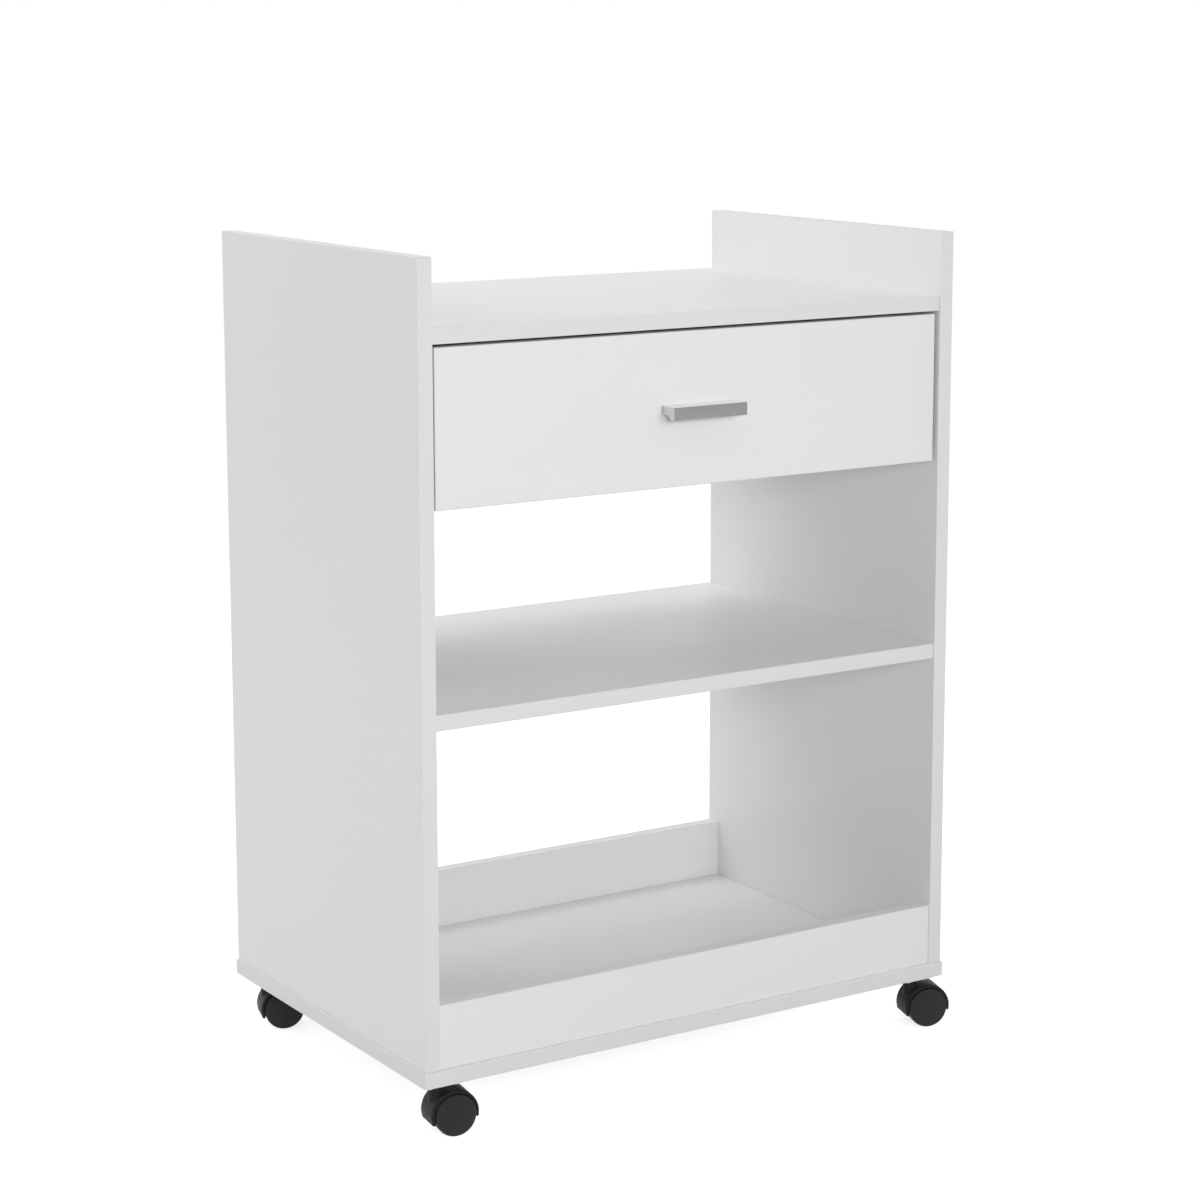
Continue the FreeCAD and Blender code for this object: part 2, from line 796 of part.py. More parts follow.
drawer_cam_z = drawer_box_bottom + S.drawer_cam_height
drawer_dowel_z = drawer_box_bottom + S.drawer_dowel_height
side_middle = drawer_right - S.drawer_board_thickness / 2
front_thread_bore = S.drawer_bolt_thread_length + S.bore_fit
drawer_cam_places = []
drawer_bolt_places = []
drawer_dowel_places = []
back_screw_places = []
back_screw_heights = [drawer_box_top - S.drawer_back_screw_inset,
                      groove_top + S.drawer_back_screw_inset]
back_middle = drawer_box_back - S.drawer_board_thickness / 2
for side, sign in SIDES.items():
    board = drawer_sides[side]
    inward = OPPOSITE[side]
    x = sign * side_middle
    cam_y = drawer_box_front + S.drawer_cam_to_board_end
    cam_spot = (sign * drawer_inner_right, cam_y, drawer_cam_z)
    bolt_spot = (x, drawer_box_front, drawer_cam_z)
    dowel_spot = (x, drawer_box_front, drawer_dowel_z)
    drawer_cam_places.append((cam_spot, side))
    drawer_bolt_places.append((bolt_spot, "back"))
    drawer_dowel_places.append(
        ((x, drawer_box_front - S.dowel_face_depth + S.dowel_end_gap, drawer_dowel_z), "back")
    )
    board.bore("front", [bolt_spot], S.bolt_head_radius + S.bore_fit,
               S.drawer_cam_to_board_end + S.bolt_head_length / 2)
    board.bore("front", [dowel_spot], dowel_bore, dowel_end_depth)
    board.bore(inward, [cam_spot], S.drawer_cam_radius + S.bore_fit,
               S.drawer_cam_depth + S.bore_fit)
    drawer_front.bore("back", [bolt_spot], S.bolt_thread_radius + S.bore_fit,
                      front_thread_bore)
    drawer_front.bore("back", [dowel_spot], dowel_bore, S.dowel_face_depth)
    screw_spots = [(sign * drawer_right, back_middle, z) for z in back_screw_heights]
    board.bore(side, screw_spots, S.wood_screw_radius + S.bore_fit, S.drawer_board_thickness)
    drawer_back.bore(side, screw_spots, S.wood_screw_radius + S.bore_fit,
                     S.drawer_back_screw_length - S.drawer_board_thickness + S.bore_fit)
    back_screw_places += [(spot, inward) for spot in screw_spots]

drawer_cam = cam_master("drawer_cam_master", S.drawer_cam_radius, S.drawer_cam_depth,
                        S.drawer_board_thickness / 2, "XZ_Plane")
copies("drawer_cam_locks", drawer_cam, drawer_cam_places)
drawer_bolt = bolt_master("drawer_bolt_master", S.drawer_cam_to_board_end,
                          S.drawer_bolt_thread_length)
copies("drawer_cam_bolts", drawer_bolt, drawer_bolt_places)
copies("drawer_dowels", dowel_master, drawer_dowel_places)
back_screw_master = screw_master("back_screw_master", S.wood_screw_radius,
                                 S.drawer_back_screw_length, S.wood_screw_head_radius,
                                 S.wood_screw_head_length)
copies("drawer_back_screws", back_screw_master, back_screw_places)

bottom_screw_x = drawer_inner_right - S.drawer_bottom_screw_inset
bottom_screw_spots = [(x, back_middle, groove_bottom + S.groove_fit)
                      for x in (-bottom_screw_x, size(0), bottom_screw_x)]
drawer_bottom.bore("bottom", bottom_screw_spots, S.wood_screw_radius + S.bore_fit,
                   S.drawer_bottom_thickness)
drawer_back.bore("bottom", bottom_screw_spots, S.wood_screw_radius + S.bore_fit,
                 S.drawer_bottom_screw_length)
bottom_screw_master = screw_master("bottom_screw_master", S.wood_screw_radius,
                                   S.drawer_bottom_screw_length, S.wood_screw_head_radius,
                                   S.wood_screw_head_length)
copies("drawer_bottom_screws", bottom_screw_master,
       [(spot, "up") for spot in bottom_screw_spots])

# ---------------------------------------------------------------- handle

handle_bottom = drawer_front_bottom + S.handle_above_front_bottom
handle_top = handle_bottom + S.handle_lip_height
handle_root_bottom = handle_top - S.handle_root_thickness
handle_front = drawer_face - S.handle_projection
lip_back = handle_front + S.handle_lip_thickness
handle_hole_height = handle_top - S.handle_root_thickness / 2
handle = new_body("drawer_handle", (-S.handle_length / 2, 0, 0))
profile = sketch_on(handle, "YZ_Plane")
draw_outline(profile, [
    (drawer_face, handle_root_bottom), (lip_back + S.handle_slope, handle_root_bottom),
    (lip_back, handle_bottom), (handle_front, handle_bottom),
    (handle_front, handle_top), (drawer_face, handle_top),
])
add_pad(profile, S.handle_length)


def on_front_lip(edge):
    """The long edges of the handle's front face."""
    return edge.BoundBox.XLength > NEAR and all(
        abs(vertex.Y - handle_front.number) < NEAR for vertex in edge.Vertexes)


def at_slope_top(edge):
    """The long edge where the root's underside turns down into the lip."""
    level = handle_root_bottom.number
    turn = (lip_back + S.handle_slope).number
    return all(abs(vertex.Z - level) < NEAR and abs(vertex.Y - turn) < NEAR
               for vertex in edge.Vertexes)


round_edges(handle, S.handle_slope_radius, at_slope_top)
round_edges(handle, S.handle_edge_radius, on_front_lip)
handle_screw_x = [sign * S.handle_hole_spacing / 2 for sign in (-1, 1)]
tapped = sketch_on(handle, "XZ_Plane", -drawer_face)
draw_circles(tapped, [(x + S.handle_length / 2, handle_hole_height) for x in handle_screw_x],
             S.handle_screw_radius + S.bore_fit)
add_pocket(tapped, S.handle_screw_grip + S.bore_fit, reverse=True)
handle_screw_spots = [(x, drawer_box_front, handle_hole_height) for x in handle_screw_x]
drawer_front.bore("back", handle_screw_spots, S.handle_screw_radius + S.bore_fit,
                  S.drawer_front_thickness)
handle_screw_master = screw_master(
    "handle_screw_master", S.handle_screw_radius,
    S.drawer_front_thickness + S.handle_screw_grip, S.handle_screw_head_radius,
    S.handle_screw_head_length)
copies("handle_screws", handle_screw_master, [(spot, "front") for spot in handle_screw_spots])

# ---------------------------------------------------------------- roller runners

# Heights are above the underside of the drawer box; depths run inwards from a side panel.
roller_diameter = 2 * S.roller_radius
track_height = S.roller_track_gap + roller_diameter + S.roller_top_gap
cabinet_inner_height = track_height + S.runner_steel + S.flange_gap
runner_front = drawer_box_front + S.runner_front_gap
runner_back = cross_back - S.board_thickness - S.runner_back_gap
runner_length = runner_back - runner_front
drawer_runner_back = runner_back - S.runner_steel - S.runner_end_gap
web_middle = cabinet_inner_height / 2
last_screw = runner_length - S.runner_screw_back
screw_steps = [S.runner_screw_front, (S.runner_screw_front + last_screw) / 2, last_screw]
runner_screw_bore = S.wood_screw_radius + S.bore_fit

pin_shank = S.runner_steel + S.roller_side_gap + S.roller_width + S.pin_head_gap
pin_master = turned_shape("pin_master", [
    (0, 0), (S.pin_radius, 0), (S.pin_radius, pin_shank), (S.pin_head_radius, pin_shank),
    (S.pin_head_radius, pin_shank + S.pin_head_length), (0, pin_shank + S.pin_head_length),
])
cabinet_roller_spot = (runner_front + S.roller_end_inset,
                       drawer_box_bottom + S.roller_top_gap + S.roller_radius)
drawer_roller_spot = (drawer_runner_back - S.roller_end_inset,
                      drawer_box_bottom + S.roller_track_gap + S.roller_radius)


def runner_body(label, sign, front, length, profile):
    """A rolled steel profile along Y; profile points are (depth, height)."""
    body = new_body(label, (sign * inner_right, front, drawer_box_bottom))
    sketch = sketch_on(body, "XZ_Plane")
    draw_outline(sketch, [(-sign * depth, height) for depth, height in profile])
    add_pad(sketch, length, reverse=True)
    return body


def side_bores(body, spots, radius, start, depth, sign):
    """Bores along X through a runner's web, at (y, z) spots of the body."""
    sketch = sketch_on(body, "YZ_Plane", -sign * start)
    draw_circles(sketch, spots, radius)
    add_pocket(sketch, depth, reverse=sign < 0)


def roller(label, sign, near_depth, spot):
    """A nylon roller between near_depth and near_depth + roller_width from the panel."""
    low = -inner_right + near_depth if sign < 0 else inner_right - near_depth - S.roller_width
    body = new_body(label, (low, spot[0], spot[1]))
    disc = sketch_on(body, "YZ_Plane")
    draw_circles(disc, [(0, 0)], S.roller_radius)
    add_pad(disc, S.roller_width)
    bore = sketch_on(body, "YZ_Plane")
    draw_circles(bore, [(0, 0)], S.pin_radius + S.pin_fit)
    add_pocket(bore, S.roller_width, reverse=True)
    rim = S.roller_radius.number
    round_edges(body, S.roller_edge_radius,
                lambda edge: edge.Closed and abs(edge.Curve.Radius - rim) < NEAR)


cabinet_pin_places = []
drawer_pin_places = []
cabinet_screw_places = []
foot_screw_places = []
for side, sign in SIDES.items():
    inward = OPPOSITE[side]
    steel = S.runner_steel
    floor_edge = steel + S.cabinet_flange_width
    ceiling = cabinet_inner_height
    cabinet_runner = runner_body(f"cabinet_runner_{side}", sign, runner_front,
                                 runner_length, [
        (0, -steel), (floor_edge, -steel), (floor_edge, 0), (steel, 0), (steel, ceiling),
        (steel + S.cabinet_top_flange_width, ceiling),
        (steel + S.cabinet_top_flange_width, ceiling + steel), (0, ceiling + steel),
    ])
    stop = sketch_on(cabinet_runner, "XZ_Plane", steel - runner_length)
    draw_rectangle(stop, (-sign * steel, 0), (-sign * floor_edge, ceiling))
    add_pad(stop, steel, reverse=True)
    web_back = S.runner_space
    web_front = web_back - steel
    foot_edge = web_back + S.drawer_foot_width
    drawer_runner = runner_body(f"drawer_runner_{side}", sign, drawer_box_front,
                                drawer_runner_back - drawer_box_front, [
        (foot_edge, -steel), (foot_edge, 0), (web_back, 0), (web_back, track_height + steel),
        (web_front - S.drawer_flange_width, track_height + steel),
        (web_front - S.drawer_flange_width, track_height), (web_front, track_height),
        (web_front, -steel),
    ])
    pin_bore = S.pin_radius + S.pin_fit
    cabinet_pin = (S.roller_end_inset, S.roller_top_gap + S.roller_radius)
    drawer_pin = (drawer_roller_spot[0] - drawer_box_front,
                  S.roller_track_gap + S.roller_radius)
    side_bores(cabinet_runner, [cabinet_pin], pin_bore, 0, steel, sign)
    side_bores(cabinet_runner, [(step, web_middle) for step in screw_steps],
               runner_screw_bore, 0, steel, sign)
    side_bores(drawer_runner, [drawer_pin], pin_bore, web_front, steel, sign)
    foot_x = sign * side_middle
    foot_bores = sketch_on(drawer_runner, "XY_Plane", -steel)
    draw_circles(foot_bores, [(foot_x - sign * inner_right, step) for step in screw_steps],
                 runner_screw_bore)
    add_pocket(foot_bores, steel, reverse=True)

    roller(f"cabinet_roller_{side}", sign, steel + S.roller_side_gap, cabinet_roller_spot)
    roller(f"drawer_roller_{side}", sign, web_front - S.roller_side_gap - S.roller_width,
           drawer_roller_spot)
    cabinet_pin_places.append(((sign * inner_right, *cabinet_roller_spot), inward))
    drawer_pin_places.append(((sign * drawer_right, *drawer_roller_spot), side))

    web_screws = [(sign * (inner_right - steel), runner_front + step,
                   drawer_box_bottom + web_middle) for step in screw_steps]
    cabinet_screw_places += [(spot, side) for spot in web_screws]
    side_panels[side].bore(inward, web_screws, runner_screw_bore,
                           S.runner_screw_length - steel + S.bore_fit)
    foot_screws = [(foot_x, drawer_box_front + step, drawer_box_bottom - steel)
                   for step in screw_steps]
    foot_screw_places += [(spot, "up") for spot in foot_screws]
    drawer_sides[side].bore("bottom", foot_screws, runner_screw_bore,
                            S.flange_screw_length - steel + S.bore_fit)

copies("cabinet_roller_pins", pin_master, cabinet_pin_places)
copies("drawer_roller_pins", pin_master, drawer_pin_places)
runner_screw_master = screw_master("runner_screw_master", S.wood_screw_radius,
                                   S.runner_screw_length, S.wood_screw_head_radius,
                                   S.wood_screw_head_length)
copies("cabinet_runner_screws", runner_screw_master, cabinet_screw_places)
foot_screw_master = screw_master("foot_screw_master", S.wood_screw_radius,
                                 S.flange_screw_length, S.wood_screw_head_radius,
                                 S.wood_screw_head_length)
copies("drawer_runner_screws", foot_screw_master, foot_screw_places)

# ---------------------------------------------------------------- casters

axle_height = S.wheel_radius
half_web = S.web_thickness / 2
wheel_inner = half_web + S.wheel_side_gap
wheel_outer = wheel_inner + S.wheel_width
axle_half = wheel_outer - S.wheel_disc_thickness - S.axle_end_gap
plate_bottom = base_bottom - S.plate_thickness
boss_top = plate_bottom - S.stem_collar_thickness - S.swivel_gap
stem_bottom = base_bottom - S.stem_length
fender_inner = S.wheel_radius + S.hood_gap
fender_middle = fender_inner + S.hood_wall / 2


def around_axle(radius, degrees):
    """A point of the caster's side view, by radius and angle about the axle."""
    return (S.caster_trail + radius * cosine(degrees),
            axle_height + radius * sine(degrees))


def caster_plate(corner, swivel):
    body = new_body(f"{corner}_caster_plate", (*swivel, plate_bottom))
    half_side = S.plate_side / 2
    square = sketch_on(body, "XY_Plane")
    draw_rectangle(square, (-half_side, -half_side), (half_side, half_side))
    add_pad(square, S.plate_thickness)
    holes = sketch_on(body, "XY_Plane")
    half_step = S.plate_hole_spacing / 2
    draw_circles(holes, [(x * half_step, y * half_step) for x in (-1, 1) for y in (-1, 1)],
                 S.plate_hole_radius)
    add_pocket(holes, S.plate_thickness, reverse=True)
    centre = sketch_on(body, "XY_Plane")
    draw_circles(centre, [(0, 0)], S.stem_radius + S.pin_fit)
    add_pocket(centre, S.plate_thickness, reverse=True)
    round_edges(body, S.plate_corner_radius,
                lambda edge: edge.BoundBox.DiagonalLength - edge.BoundBox.ZLength < NEAR)


def caster_hood(corner, swivel, yaw):
    """The swivelling body: central web, boss for the stem and a fender over both wheels."""
    body = new_body(f"{corner}_caster_hood", (*swivel, 0), yaw)
    trailing = S.hood_trailing_angle
    leading = S.hood_leading_angle
    below = (S.caster_trail, axle_height - S.web_lower_radius)

    def above(radius):
        return S.caster_trail, axle_height + radius

    web = sketch_on(body, "XZ_Plane")
    draw_outline(web, [
        around_axle(fender_middle, trailing), around_axle(fender_middle, leading),
        around_axle(S.web_lower_radius, leading), around_axle(S.web_lower_radius, trailing),
    ], arcs={0: (fender_middle, above(fender_middle)), 2: (S.web_lower_radius, below)})
    add_pad(web, S.web_thickness, midplane=True)

    boss = sketch_on(body, "XY_Plane", axle_height)
    draw_circles(boss, [(0, 0)], S.boss_radius)
    add_pad(boss, boss_top - axle_height)
    for offset, along_normal in ((half_web, True), (-half_web, False)):
        wheel_space = sketch_on(body, "XZ_Plane", offset)
        draw_circles(wheel_space, [(S.caster_trail, axle_height)], fender_inner)
        add_pocket(wheel_space, S.hood_width, reverse=along_normal)

    fender = sketch_on(body, "XZ_Plane")
    draw_outline(fender, [
        around_axle(hood_radius, trailing), around_axle(hood_radius, leading),
        around_axle(fender_inner, leading), around_axle(fender_inner, trailing),
    ], arcs={0: (hood_radius, above(hood_radius)), 2: (fender_inner, above(fender_inner))})
    add_pad(fender, S.hood_width, midplane=True)

    stem_bore = sketch_on(body, "XY_Plane", boss_top)
    draw_circles(stem_bore, [(0, 0)], S.stem_radius + S.pin_fit)
    add_pocket(stem_bore, boss_top - stem_bottom + S.stem_end_gap)
    axle_bore = sketch_on(body, "XZ_Plane", -half_web)
    draw_circles(axle_bore, [(S.caster_trail, axle_height)], S.axle_radius + S.pin_fit)
    add_pocket(axle_bore, S.web_thickness, reverse=True)


def caster_axle(corner, swivel, yaw):
    body = new_body(f"{corner}_caster_axle", (*swivel, 0), yaw)
    section = sketch_on(body, "XZ_Plane")
    draw_circles(section, [(S.caster_trail, axle_height)], S.axle_radius)
    add_pad(section, 2 * axle_half, midplane=True)


def caster_wheel(label, swivel, yaw, turn):
    """A cup-shaped wheel on one end of the axle; turn 180 puts it on the other end."""
    centre_x = swivel[0] + S.caster_trail * cosine(yaw)
    centre_y = swivel[1] + S.caster_trail * sine(yaw)
    body = new_body(label, (centre_x, centre_y, axle_height), yaw + turn)
    bore = S.axle_radius + S.pin_fit
    disc_back = wheel_outer - S.wheel_disc_thickness
    rim_inner = S.wheel_radius - S.wheel_rim_thickness
    shoulder = S.wheel_radius - S.wheel_edge_radius
    dome_radius = (shoulder * shoulder + S.wheel_dome * S.wheel_dome) / (2 * S.wheel_dome)
    bend = S.wheel_edge_radius * math.sqrt(0.5)
    profile = sketch_on(body, "XY_Plane")
    draw_outline(profile, [
        (bore, wheel_inner), (S.wheel_hub_radius, wheel_inner),
        (S.wheel_hub_radius, disc_back), (rim_inner, disc_back), (rim_inner, wheel_inner),
        (S.wheel_radius, wheel_inner), (S.wheel_radius, wheel_outer - S.wheel_edge_radius),
        (shoulder, wheel_outer), (0, wheel_outer + S.wheel_dome), (0, disc_back),
        (bore, disc_back),
    ], arcs={
        6: (S.wheel_edge_radius,
            (shoulder + bend, wheel_outer - S.wheel_edge_radius + bend)),
        7: (dome_radius, (shoulder / 2, wheel_outer + S.wheel_dome * 3 / 4)),
    })
    add_revolution(profile)


stem_master = turned_shape("stem_master", [
    (0, 0), (S.stem_radius, 0),
    (S.stem_radius, S.stem_length - S.plate_thickness - S.stem_collar_thickness),
    (S.stem_collar_radius, S.stem_length - S.plate_thickness - S.stem_collar_thickness),
    (S.stem_collar_radius, S.stem_length - S.plate_thickness),
    (S.stem_radius, S.stem_length - S.plate_thickness),
    (S.stem_radius, S.stem_length), (0, S.stem_length),
])
caster_screw_master = screw_master("caster_screw_master", S.wood_screw_radius,
                                   S.caster_screw_length, S.wood_screw_head_radius,
                                   S.wood_screw_head_length)
stem_places = []
caster_screw_places = []
for corner, sign_x, sign_y, yaw in (
    ("front_left", -1, -1, S.front_left_caster_yaw),
    ("front_right", 1, -1, S.front_right_caster_yaw),
    ("rear_left", -1, 1, S.rear_left_caster_yaw),
    ("rear_right", 1, 1, S.rear_right_caster_yaw),
):
    swivel = (sign_x * (base_right - S.caster_inset), sign_y * (base_back - S.caster_inset))
    caster_plate(corner, swivel)
    caster_hood(corner, swivel, yaw)
    caster_axle(corner, swivel, yaw)
    caster_wheel(f"{corner}_caster_wheel_front", swivel, yaw, 180)
    caster_wheel(f"{corner}_caster_wheel_rear", swivel, yaw, 0)
    stem_places.append(((*swivel, stem_bottom), "up"))
    half_step = S.plate_hole_spacing / 2
    caster_screw_places += [
        ((swivel[0] + x * half_step, swivel[1] + y * half_step, plate_bottom), "up")
        for x in (-1, 1) for y in (-1, 1)
    ]
copies("caster_stems", stem_master, stem_places)
copies("caster_screws", caster_screw_master, caster_screw_places)
base_panel.bore("bottom", [spot for spot, _ in caster_screw_places], runner_screw_bore,
                S.caster_screw_length - S.plate_thickness + S.bore_fit)

# ---------------------------------------------------------------- check and export

doc.recompute()
for item in doc.Objects:
    if "Invalid" in item.State or "Error" in item.State:
        raise RuntimeError(f"{item.Name} failed: {item.State}")
for part in PARTS:
    if part.Shape.isNull() or not part.Shape.isValid():
        raise RuntimeError(f"{part.Label} has no valid shape")

os.makedirs("parts", exist_ok=True)
for part in PARTS:
    part.Shape.exportStep(f"parts/{part.Label}.step")
print(f"{len(PARTS)} sub-parts, {sum(len(part.Shape.Solids) for part in PARTS)} solids")
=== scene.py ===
import math

import bmesh
import bpy
import numpy as np
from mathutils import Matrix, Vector


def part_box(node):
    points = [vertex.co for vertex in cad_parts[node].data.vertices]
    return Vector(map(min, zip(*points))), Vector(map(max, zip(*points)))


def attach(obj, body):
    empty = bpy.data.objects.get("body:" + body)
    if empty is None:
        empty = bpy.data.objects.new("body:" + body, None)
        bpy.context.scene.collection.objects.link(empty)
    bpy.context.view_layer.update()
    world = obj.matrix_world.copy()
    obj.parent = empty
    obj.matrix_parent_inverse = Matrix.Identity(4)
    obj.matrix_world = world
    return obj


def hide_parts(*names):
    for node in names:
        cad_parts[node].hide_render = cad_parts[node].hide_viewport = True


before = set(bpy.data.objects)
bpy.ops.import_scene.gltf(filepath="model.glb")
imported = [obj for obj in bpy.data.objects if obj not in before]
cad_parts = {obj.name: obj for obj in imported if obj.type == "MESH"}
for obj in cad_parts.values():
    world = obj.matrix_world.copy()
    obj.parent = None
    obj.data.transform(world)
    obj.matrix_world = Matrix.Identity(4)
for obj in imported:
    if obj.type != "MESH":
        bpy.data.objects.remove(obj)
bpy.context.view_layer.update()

# ---------------------------------------------------------------- camera
# A long lens a metre above the floor, turned towards the stand's left front corner and
# tipped a little down, with its frame shifted down so that the casters stay in view.

tip_down, turn_right = 9.588775, 32.858257
camera = bpy.data.objects.new("camera", bpy.data.cameras.new("camera"))
camera.location = (-1.512592, -2.410659, 1.006831)
camera.rotation_euler = (math.radians(90 - tip_down), 0, math.radians(-turn_right))
camera.data.lens = 87.334
camera.data.shift_x = -0.0213
camera.data.shift_y = -0.07
bpy.context.scene.collection.objects.link(camera)
bpy.context.scene.camera = camera
bpy.context.scene.view_settings.view_transform = "Standard"

# ---------------------------------------------------------------- carcass and drawer boards
# Particle board, white melamine on both faces, satin with a faint orange peel. Edges
# that show have a 0.9 mm band, ironed on, a shade greyer, with a fine glue line; those
# that butt against a board are raw. The outer arrises are rounded over.


def add(tree, kind, settings=None, inputs=None):
    """A shader node; an input is a plain value or another node's output socket."""
    made = tree.nodes.new("ShaderNode" + kind)
    for name, value in (settings or {}).items():
        setattr(made, name, value)
    for name, value in (inputs or {}).items():
        if isinstance(value, bpy.types.NodeSocket):
            tree.links.new(value, made.inputs[name])
        else:
            made.inputs[name].default_value = value
    return made


def mixed(tree, share, first, second):
    """The colour between two colours, or colour sockets, by share."""
    made = add(tree, "Mix", {"data_type": "RGBA"}, {0: share})
    for socket, value in ((made.inputs[6], first), (made.inputs[7], second)):
        if isinstance(value, bpy.types.NodeSocket):
            tree.links.new(value, socket)
        else:
            socket.default_value = (*value, 1)
    return made.outputs[2]


def finish(name, tones, patch, roughness, grain, depth, stretch=(1, 1, 1), **plain):
    """A material whose colour runs between two tones, and its roughness between two
    values, with a noise of patch metres, while a noise of grain metres lifts the
    surface by depth metres. stretch scales the pattern's axes; plain values go on
    the shader's own sockets. Gives the material and the colour's socket."""
    usual_low, usual_high = 0.3, 0.7
    material = bpy.data.materials.new(name)
    material.use_nodes = True
    tree = material.node_tree
    shader = tree.nodes["Principled BSDF"]
    for socket, value in plain.items():
        shader.inputs[socket.replace("_", " ")].default_value = value
    place = add(tree, "TexCoord").outputs["Object"]
    place = add(tree, "Mapping", inputs={"Vector": place, "Scale": stretch}).outputs[0]
    patches = add(tree, "TexNoise", inputs={"Vector": place, "Scale": 1 / patch, "Detail": 3})
    colour = mixed(tree, patches.outputs["Fac"], *tones)
    tree.links.new(colour, shader.inputs["Base Color"])
    satin = add(tree, "MapRange", inputs={
        "Value": patches.outputs["Fac"], "From Min": usual_low, "From Max": usual_high,
        "To Min": roughness[0], "To Max": roughness[1]})
    tree.links.new(satin.outputs[0], shader.inputs["Roughness"])
    grains = add(tree, "TexNoise", inputs={"Vector": place, "Scale": 1 / grain, "Detail": 2})
    bump = add(tree, "Bump", inputs={
        "Height": grains.outputs["Fac"], "Distance": depth, "Strength": 1})
    tree.links.new(bump.outputs[0], shader.inputs["Normal"])
    return material, colour


def eased_board(node, material, body):
    """The CAD board with its outer arrises rounded over. An edge is an outer arris where
    both of its ends lie on the same two faces of the board's box."""
    arris, arris_steps = 0.0006, 3
    same_point, same_face, flat = 1e-6, 2e-6, math.radians(1)
    shape = bmesh.new()
    shape.from_mesh(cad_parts[node].data)
    bmesh.ops.remove_doubles(shape, verts=shape.verts, dist=same_point)
    bmesh.ops.dissolve_limit(shape, angle_limit=flat, verts=shape.verts, edges=shape.edges)
    mesh = bpy.data.meshes.new(f"{node}_board")
    shape.to_mesh(mesh)
    shape.free()
    points = np.empty(len(mesh.vertices) * 3)
    mesh.vertices.foreach_get("co", points)
    ends = np.empty(len(mesh.edges) * 2, int)
    mesh.edges.foreach_get("vertices", ends)
    away = points.reshape(-1, 1, 3) - np.array(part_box(node))
    on_face = (np.abs(away) < same_face).reshape(-1, 6)
    shared = (on_face[ends[::2]] & on_face[ends[1::2]]).sum(axis=1)
    weight = mesh.attributes.new("bevel_weight_edge", "FLOAT", "EDGE")
    weight.data.foreach_set("value", (shared >= 2).astype(np.float32))
    mesh.shade_flat()
    mesh.materials.append(material)
    board = bpy.data.objects.new(f"{node}_board", mesh)
    bpy.context.scene.collection.objects.link(board)
    ease = board.modifiers.new("arrises", "BEVEL")
    ease.limit_method, ease.width, ease.segments = "WEIGHT", arris, arris_steps
    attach(board, body)
    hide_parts(node)


directions = {"left": (0, -1), "right": (0, 1), "front": (1, -1), "back": (1, 1),
              "bottom": (2, -1), "top": (2, 1)}


def any_of(tree, shares):
    """The greatest of the sockets: 1 where any of them is 1."""
    most = shares[0]
    for share in shares[1:]:
        most = add(tree, "Math", {"operation": "MAXIMUM"}, {0: most, 1: share}).outputs[0]
    return most


def turned_to(tree, facing, edges, least=0.7):
    """1 where the surface faces one of the named directions, its normal's part along
    it past least, and 0 elsewhere."""
    shares = []
    for edge in edges.split():
        axis, sign = directions[edge]
        past = "GREATER_THAN" if sign > 0 else "LESS_THAN"
        shares.append(add(tree, "Math", {"operation": past},
                          {0: facing.outputs[axis], 1: sign * least}).outputs[0])
    return any_of(tree, shares)


band_thickness = 0.0009
glue_line_half_width = 0.00012
glue_line_strength = 0.4
melamine_tones = ((0.812, 0.804, 0.809), (0.832, 0.824, 0.829))
band_shade = (0.92, 0.92, 0.92)
glue_line_tone = (0.56, 0.55, 0.53)
chip_tones = ((0.40, 0.28, 0.16), (0.66, 0.52, 0.35))
chip_size = 0.0018
square_on = 0.98

# Each board with its banded edges and its raw ones.
for board, banded, raw in (
    ("base_panel", "left right front back", ""),
    ("left_side_panel", "front back top", "bottom"),
    ("right_side_panel", "front back top", "bottom"),
    ("top_shelf", "front back", "left right"),
    ("middle_shelf", "front back", "left right"),
    ("front_lip", "top", "left right bottom"),
    ("rear_lip", "top", "left right bottom"),
    ("rear_stretcher", "bottom", "left right top"),
    ("drawer_front", "left right bottom top", ""),
    ("drawer_side_left", "top", "front back bottom"),
    ("drawer_side_right", "top", "front back bottom"),
    ("drawer_back", "top", "left right bottom"),
):
    material, face = finish(
        f"white_melamine_{board}", melamine_tones, patch=0.12, roughness=(0.36, 0.44),
        grain=0.0011, depth=0.000006, IOR=1.5)
    tree = material.node_tree
    place = add(tree, "TexCoord")
    spot = add(tree, "SeparateXYZ", inputs={0: place.outputs["Object"]})
    facing = add(tree, "SeparateXYZ", inputs={0: place.outputs["Normal"]})
    band = add(tree, "Mix", {"data_type": "RGBA", "blend_type": "MULTIPLY"},
               {0: turned_to(tree, facing, banded)})
    band.inputs[7].default_value = (*band_shade, 1)
    tree.links.new(face, band.inputs[6])
    lines = []
    for edge in banded.split():
        axis, sign = directions[edge]
        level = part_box(board)[(1 + sign) // 2][axis] - sign * band_thickness
        lines.append(add(tree, "Math", {"operation": "COMPARE"}, {
            0: spot.outputs[axis], 1: level, 2: glue_line_half_width}).outputs[0])
    line = add(tree, "Math", {"operation": "MULTIPLY"},
               {0: any_of(tree, lines), 1: glue_line_strength})
    colour = mixed(tree, line.outputs[0], band.outputs[2], glue_line_tone)
    if raw:
        chips = add(tree, "TexVoronoi", inputs={
            "Vector": place.outputs["Object"], "Scale": 1 / chip_size})
        chip_colour = mixed(tree, chips.outputs["Distance"], *chip_tones)
        colour = mixed(tree, turned_to(tree, facing, raw, square_on), colour, chip_colour)
    tree.links.new(colour, tree.nodes["Principled BSDF"].inputs["Base Color"])
    eased_board(board, material, "drawer" if board.startswith("drawer") else "carcass")

